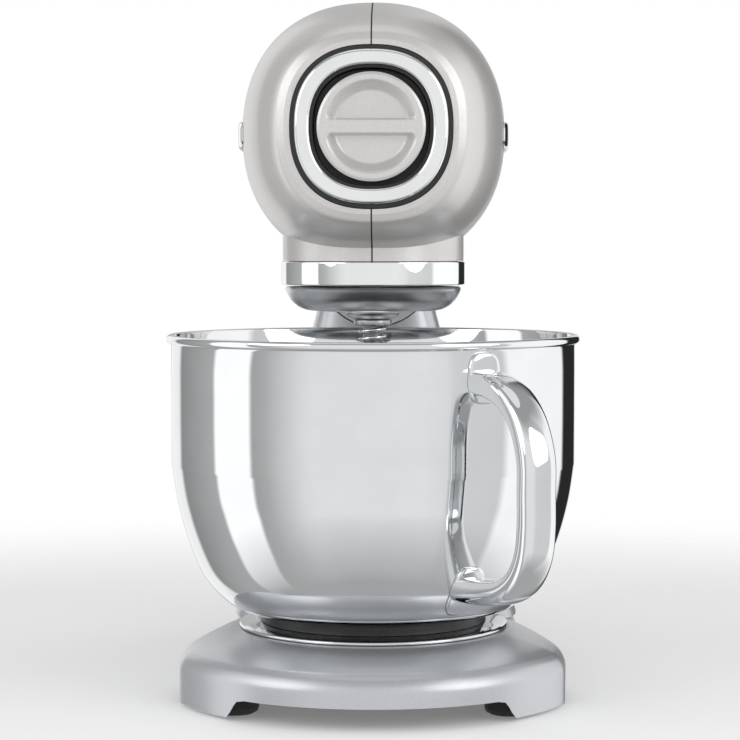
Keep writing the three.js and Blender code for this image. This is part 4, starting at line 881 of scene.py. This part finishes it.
def make_carrier():
    """The planetary disc, with the beater shaft's boss off its centre."""
    top, radius = CARRIER_HIGH.z, CARRIER_HIGH.x
    side = catmull([(32.7, 205.8), (36.5, 206.4), (40.4, 208.2), (43.8, 211.3), (46.2, 215.2),
                    (radius, top - 0.9)], 6)
    disc = turned("planetary_disc", [(0, 205.8)] + side + [(radius - 0.7, top), (0, top)], 192)
    boss_bottom = CARRIER_LOW.z
    boss = rounded([(0, boss_bottom), (11.4, boss_bottom), (14.3, boss_bottom + 2.6),
                    (14.3, top - 1), (0, top - 1)], 1.6, 6)
    join(disc, turned("boss", boss, 96, centre=(0, SHAFT_Y, 0)))
    cut(disc, rod("shaft_bore", 6.25, 190, 230, centre=(0, SHAFT_Y, 0)))
    cut(disc, rod("main_bore", 7.3, 209.7, 230))
    smooth(disc, 35)
    finish_piece(disc, "satin_metal", "carrier", "planet_carrier")


def make_beater_shaft():
    low, top = SHAFT_LOW.z, SHAFT_HIGH.z
    collar = SHAFT_HIGH.x
    profile = rounded([(0, low), (4.2, low), (5, low + 1.4), (5, 198.4), (collar, 198.4),
                       (collar, 201.5), (6, 201.5), (6, top), (0, top)], 0.5)
    shaft = turned("beater_spindle", profile, 72, centre=(0, SHAFT_Y, 0))
    pin_low, pin_high = mm_box("beater_drive_pin")
    pin_z, pin_r = (pin_low.z + pin_high.z) / 2, (pin_high.z - pin_low.z) / 2
    cut(shaft, rod("cross_hole", pin_r + 0.2, -20, 20, 32, "x", (0, SHAFT_Y, pin_z)))
    smooth(shaft, 35)
    finish_piece(shaft, "steel_dark", "beater_drive", "beater_shaft")
    pin = rounded([(0, pin_low.x), (pin_r, pin_low.x), (pin_r, pin_high.x), (0, pin_high.x)], 0.5)
    finish_piece(turned("drive_pin", pin, 40, "x", (0, SHAFT_Y, pin_z)), "chrome", "beater_drive",
                 "beater_drive_pin")


def coil(name, node, wire, turns, steps=40):
    """A coil spring of round wire that fills the CAD spring's height."""
    low, high = mm_box(node)
    cx, cy = (low.x + high.x) / 2, (low.y + high.y) / 2
    radius = (high.x - low.x) / 2 - wire
    rings = []
    total = int(turns * steps)
    for k in range(total + 1):
        angle = k / steps * TURN
        z = low.z + wire + (high.z - low.z - 2 * wire) * k / total
        c, s = math.cos(angle), math.sin(angle)
        ring = []
        for i in range(14):
            a = i / 14 * TURN
            reach = radius + wire * math.cos(a)
            ring.append((cx + reach * c, cy + reach * s, z + wire * math.sin(a)))
        rings.append(ring)
    return fix_outward(skin(name, rings, sharp=60))


# ---- bowl ----

BOWL_BOTTOM = BOWL_LOW.z
BOWL_SIDE = [(62, BOWL_BOTTOM), (73.5, BOWL_BOTTOM + 2.2), (83, 54.5), (92, 66), (99.6, 84.7),
             (105, 105), (BOWL_RADIUS, 125)]


def bowl_side(offset=0.0, steps=9):
    """The bowl's side as a smooth curve, moved out by offset."""
    curve = catmull(BOWL_SIDE, steps)
    out = []
    for i, (r, z) in enumerate(curve):
        a, b = curve[max(i - 1, 0)], curve[min(i + 1, len(curve) - 1)]
        normal = Vector((b[1] - a[1], a[0] - b[0])).normalized()
        if i == len(curve) - 1:
            normal = Vector((1, 0))
        out.append((r + normal.x * offset, z + normal.y * offset))
    return out


def make_bowl():
    rim, top = RIM_RADIUS, BOWL_HIGH.z
    bead = top - RIM_DEPTH
    outside = bowl_side() + [(BOWL_RADIUS, 150), (BOWL_RADIUS, 175), (BOWL_RADIUS, bead - 1.2),
                             (BOWL_RADIUS + 0.3, bead - 0.2)]
    roll = [(rim - 1.2, bead), (rim - 0.35, bead + 0.5), (rim, bead + 1.4), (rim, top - 1.6),
            (rim - 0.4, top - 0.6), (rim - 1.3, top), (rim - 2.6, top), (rim - 3.6, top - 0.5),
            (BOWL_RADIUS - BOWL_WALL, top - 1.8)]
    inside = [(BOWL_RADIUS - BOWL_WALL, 175), (BOWL_RADIUS - BOWL_WALL, 150)]
    inside += list(reversed(bowl_side(-BOWL_WALL)))
    floor = [(30, BOWL_BOTTOM + BOWL_WALL), (0, BOWL_BOTTOM + BOWL_WALL)]
    profile = [(0, BOWL_BOTTOM), (30, BOWL_BOTTOM)] + outside + roll + inside + floor
    finish_piece(turned("bowl_body", profile, 256, sharp=45), "polished_steel", "bowl",
                 "bowl_shell")


def bowl_cutter(name, offset):
    side = bowl_side(offset)
    profile = [(0, side[0][1])] + side + [(BOWL_RADIUS + offset, 200), (0, 200)]
    return turned(name, profile, 256)


def make_bowl_foot():
    """A flared ring with lugs round its skirt, and a black ring round its waist that is painted
    shade for the shadow under the bowl's edge.
    """
    low, high = mm_box("bowl_foot")
    flange = high.x
    under, shelf = 37.0, 39.5
    waist, bore, skirt = 57, 55, 60.8
    trumpet = catmull([(flange, under), (flange, under + 0.9), (71, 38.5), (67, 39.1), (63, 39.4),
                       (60, shelf)], 5)
    profile = trumpet + [(waist, shelf), (waist, high.z), (bore, high.z), (bore, low.z),
                         (skirt, low.z), (skirt, under)]
    # Painted shade: a black ring set in the foot's waist, where the bowl's edge shades it, stands
    # in for that shadow.
    seam = 0.15
    shade_ring_inner, shade_ring_top = waist + seam, 44.6
    shade_ring_profile = rounded([(shade_ring_inner, shelf + seam), (60.8, shelf + seam), (59.8, 42.4),
                    (59.4, shade_ring_top), (shade_ring_inner, shade_ring_top)], 0.4)
    finish_piece(turned("painted_shade_ring", shade_ring_profile, 192), "black_plastic", "bowl")
    body = turned("foot_ring", profile, 224)
    lugs, lug_outer, lug_inner = 3, 64.8, 60
    half = math.radians(15)
    for k in range(lugs):
        middle = TURN * (k / lugs - 1 / 4)
        arc = [(lug_outer * math.cos(a), lug_outer * math.sin(a))
               for a in spread(middle - half, middle + half, 10)]
        arc += [(lug_inner * math.cos(a), lug_inner * math.sin(a))
                for a in spread(middle + half, middle - half, 10)]
        join(body, prism("lug", arc, "z", low.z + 0.05, low.z + 2.2))
    smooth(body, 35)
    finish_piece(body, "polished_steel", "bowl", "bowl_foot")


HANDLE_ANGLE = math.radians(31.4)
HANDLE_REACH = 153.9
HANDLE_WIDTH, HANDLE_THICK = 19, 13
PAD_WIDTH, PAD_HEIGHT = 18.5, 26
UPPER_PAD, LOWER_PAD = 161.6, 53


def handle_point(radius, across, z):
    """A point in the handle's own upright plane, moved sideways by across."""
    s, c = math.sin(HANDLE_ANGLE), math.cos(HANDLE_ANGLE)
    return (radius * s + across * c, -radius * c + across * s, z)


def make_pad(name, low):
    """A thin tab that follows the bowl's side, with a soft edge."""
    side = [(z, r) for r, z in bowl_side()] + [(190, BOWL_RADIUS)]
    count = 120
    mid = low + PAD_HEIGHT / 2
    outline = superellipse(PAD_WIDTH / 2, PAD_HEIGHT / 2, 3.0, count)

    def at(share, i, proud):
        across, up = outline[i][0] * share, outline[i][1] * share
        z = mid + up
        radius = along(side, z)
        slope = (along(side, z + 0.5) - along(side, z - 0.5))
        lift = 1 / math.sqrt(1 + slope * slope)
        reach = radius + proud * lift
        angle = HANDLE_ANGLE + across / reach
        s, c = math.sin(angle), math.cos(angle)
        return (reach * s, -reach * c, z - proud * slope * lift)

    shape = [(0.04, 1.75), (0.3, 1.75), (0.6, 1.75), (0.85, 1.75), (0.93, 1.6), (0.98, 1.2),
             (1, 0.6), (1, 0.15), (0.8, 0.15), (0.5, 0.15), (0.04, 0.15)]
    rings = [[at(s, i, p) for i in range(count)] for s, p in shape]
    return fix_outward(skin(name, rings, sharp=60))


def make_handle():
    reach = HANDLE_REACH
    path = catmull([(98, 172.6), (110, 172.4), (122, 170.6), (reach - 18, 165), (reach - 7, 154),
                    (reach - 0.5, 138), (reach, 120), (reach, 104), (reach - 2.5, 90),
                    (reach - 10, 78.6), (reach - 22, 71.6), (116, 68.6), (100, 67.4), (84, 67)],
                   12)
    rings = []
    for i, (r, z) in enumerate(path):
        a, b = path[max(i - 1, 0)], path[min(i + 1, len(path) - 1)]
        run = Vector((b[0] - a[0], b[1] - a[1])).normalized()
        out = Vector((-run.y, run.x))
        ring = []
        for across, outward in superellipse(HANDLE_WIDTH / 2, HANDLE_THICK / 2, 3.1, 64):
            ring.append(handle_point(r + out.x * outward, across, z + out.y * outward))
        rings.append(ring)
    bar = fix_outward(skin("bar", rings, sharp=60))
    cut(bar, bowl_cutter("wall", 0.2))
    # The ends inside the bowl's body are gone; what is left is one loop outside the wall.
    pads = [make_pad("upper_pad", UPPER_PAD), make_pad("lower_pad", LOWER_PAD)]
    handle = combined("bowl_handle_loop", [bar] + pads, 60)
    finish_piece(handle, "polished_steel", "bowl", "bowl_handle")


# ---- small pieces of the hinge ----

def make_hinge():
    radius = (PIN_HIGH.z - PIN_LOW.z) / 2
    profile = rounded([(0, PIN_LOW.x), (radius, PIN_LOW.x), (radius, PIN_HIGH.x),
                       (0, PIN_HIGH.x)], 0.9)
    finish_piece(turned("tilt_pin", profile, 64, "x", (0, HINGE_Y, HINGE_Z)), "steel_dark",
                 "stand", "hinge_pin")


# ---- studio ----

def make_floor():
    """A pale disc that fades into the white surroundings."""
    rings, segments = 24, 96
    points = [(0, AXIS_Y + 0.05, 0)]
    for k in range(1, rings + 1):
        radius = FLOOR_RADIUS * k / rings
        points += [(radius * math.cos(i / segments * TURN),
                    AXIS_Y + 0.05 + radius * math.sin(i / segments * TURN), 0)
                   for i in range(segments)]
    faces = [(0, 1 + i, 1 + (i + 1) % segments) for i in range(segments)]
    for k in range(rings - 1):
        a, b = 1 + k * segments, 1 + (k + 1) * segments
        faces += [(a + i, b + i, b + (i + 1) % segments, a + (i + 1) % segments)
                  for i in range(segments)]
    mesh = bpy.data.meshes.new("studio_floor")
    mesh.from_pydata(points, [], faces)
    floor = bpy.data.objects.new("studio_floor", mesh)
    bpy.context.scene.collection.objects.link(floor)
    middle = (0, AXIS_Y + 0.05, 0)
    material, tree, shader = node_material("pale_floor", (0.93, 0.93, 0.93), 0.0, 0.9)
    tree.links.new(mixed_color(tree, noise(tree, 3, 2.0), (0.925, 0.925, 0.925),
                               (0.935, 0.935, 0.935)), shader.inputs["Base Color"])
    shader.inputs["Emission Color"].default_value = (1, 1, 1, 1)
    shader.inputs["Emission Strength"].default_value = 0.16
    where = tree.nodes.new("ShaderNodeTexCoord")
    length = tree.nodes.new("ShaderNodeVectorMath")
    length.operation = "DISTANCE"
    length.inputs[1].default_value = middle
    tree.links.new(where.outputs["Object"], length.inputs[0])
    fade = tree.nodes.new("ShaderNodeMapRange")
    fade.interpolation_type = "SMOOTHSTEP"
    fade.inputs["From Min"].default_value = FLOOR_RADIUS * 0.45
    fade.inputs["From Max"].default_value = FLOOR_RADIUS * 0.98
    fade.inputs["To Min"].default_value = 1
    fade.inputs["To Max"].default_value = 0
    tree.links.new(length.outputs["Value"], fade.inputs["Value"])
    tree.links.new(fade.outputs["Result"], shader.inputs["Alpha"])
    mesh.materials.append(material)
    floor.visible_glossy = False


# The studio by azimuth, from the front: white and grey cards, and one black flag on the right.
STUDIO_CARDS = [
    (-180, 0.5), (-169, 0.5), (-167, 1.0), (-143, 1.0), (-138, 0.30), (-101, 0.48), (-98.5, 1.25),
    (-73, 1.25), (-71, 0.43), (-62, 0.50), (-55, 0.61), (-47, 0.73), (-40, 0.84), (-33, 0.90),
    (29, 0.90), (42, 0.85), (47, 0.76), (78, 0.72), (83, 1.15), (134.5, 1.1), (137, 0.025),
    (165, 0.025), (168, 1.0), (180, 0.5),
]
# How light the studio is straight up and straight down.
CEILING, GROUND = 0.38, 0.45
FLOOR_RADIUS = 0.8


def make_world():
    world = bpy.data.worlds.new("studio")
    bpy.context.scene.world = world
    world.use_nodes = True
    tree = world.node_tree
    nodes, links = tree.nodes, tree.links
    nodes.clear()
    where = nodes.new("ShaderNodeTexCoord")
    split = nodes.new("ShaderNodeSeparateXYZ")
    links.new(where.outputs["Generated"], split.inputs["Vector"])

    def math_node(operation, a, b):
        node = nodes.new("ShaderNodeMath")
        node.operation = operation
        for socket, value in zip(node.inputs, (a, b)):
            if isinstance(value, (int, float)):
                socket.default_value = value
            else:
                links.new(value, socket)
        return node.outputs["Value"]

    back = math_node("MULTIPLY", split.outputs["Y"], -1)
    azimuth = math_node("ARCTAN2", split.outputs["X"], back)
    share = math_node("ADD", math_node("DIVIDE", azimuth, TURN), 0.5)
    ramp = nodes.new("ShaderNodeValToRGB")
    stops = ramp.color_ramp.elements
    while len(stops) > 1:
        stops.remove(stops[-1])
    for k, (degrees, light) in enumerate(STUDIO_CARDS):
        place = (degrees + 180) / 360
        stop = stops[0] if k == 0 else stops.new(place)
        stop.position = place
        stop.color = (light, light, light, 1)
    links.new(share, ramp.inputs["Fac"])
    shown = ramp.outputs["Color"]
    for start, end, light in ((0.5, 0.8, CEILING), (-0.45, -0.8, GROUND)):
        share = nodes.new("ShaderNodeMapRange")
        share.inputs["From Min"].default_value = start
        share.inputs["From Max"].default_value = end
        links.new(split.outputs["Z"], share.inputs["Value"])
        cards = nodes.new("ShaderNodeMix")
        cards.data_type = "RGBA"
        links.new(share.outputs["Result"], cards.inputs["Factor"])
        links.new(shown, cards.inputs["A"])
        cards.inputs["B"].default_value = (light, light, light, 1)
        shown = cards.outputs["Result"]
    rays = nodes.new("ShaderNodeLightPath")
    seen = nodes.new("ShaderNodeMix")
    seen.data_type = "RGBA"
    links.new(rays.outputs["Is Camera Ray"], seen.inputs["Factor"])
    links.new(shown, seen.inputs["A"])
    seen.inputs["B"].default_value = (1.0, 1.0, 1.0, 1)
    shine = nodes.new("ShaderNodeBackground")
    links.new(seen.outputs["Result"], shine.inputs["Color"])
    out = nodes.new("ShaderNodeOutputWorld")
    links.new(shine.outputs["Background"], out.inputs["Surface"])


def add_light(name, place, target, size, power, color=(1, 1, 1)):
    light = bpy.data.lights.new(name, "AREA")
    light.shape = "DISK"
    light.size = size
    light.energy = power
    light.color = color
    lamp = bpy.data.objects.new(name, light)
    bpy.context.scene.collection.objects.link(lamp)
    lamp.location = place
    aim = Vector(target) - Vector(place)
    lamp.rotation_euler = aim.to_track_quat("-Z", "Y").to_euler()


def make_lights():
    middle = (0, AXIS_Y + 0.05, 0.2)
    add_light("key", (-1.5, AXIS_Y - 1.1, 1.0), middle, 1.3, 7)
    add_light("fill", (1.5, AXIS_Y - 1.1, 0.9), middle, 1.4, 8)
    add_light("top", (0, AXIS_Y + 0.1, 2.2), middle, 1.8, 4)


CAMERA_DISTANCE = 1.234
CAMERA_HEIGHT = 0.2405
CAMERA_DOWN = 3.1
CAMERA_SIDE = 0.75


SENSOR_WIDTH, LENS = 36, 111.892


def make_camera():
    data = bpy.data.cameras.new("camera")
    data.sensor_width = SENSOR_WIDTH
    data.lens = LENS
    data.clip_end = 60
    camera = bpy.data.objects.new("camera", data)
    bpy.context.scene.collection.objects.link(camera)
    side = math.radians(CAMERA_SIDE)
    camera.location = (CAMERA_DISTANCE * math.sin(side),
                       AXIS_Y - CAMERA_DISTANCE * math.cos(side), CAMERA_HEIGHT)
    camera.rotation_euler = (math.radians(90 - CAMERA_DOWN), 0, math.radians(CAMERA_SIDE + 0.08))
    bpy.context.scene.camera = camera


# ---- the scene ----

make_camera()
make_floor()
make_world()
make_lights()
bpy.context.scene.view_settings.view_transform = "Standard"
paint_cad_nodes()
make_base()
make_feet()
make_column()
make_back_cover()
make_inlet()
make_button()
make_hinge()
make_head_shells()
make_hub()
make_side_trims()
make_neck_ring()
make_lever()
make_vent()
make_carrier()
make_beater_shaft()
finish_piece(coil("beater_coil", "beater_spring", 1.0, 5), "chrome", "beater_drive",
             "beater_spring")
finish_piece(coil("latch_coil", "latch_spring", 0.8, 4), "steel_dark", "stand", "latch_spring")
make_bowl()
make_bowl_foot()
make_handle()
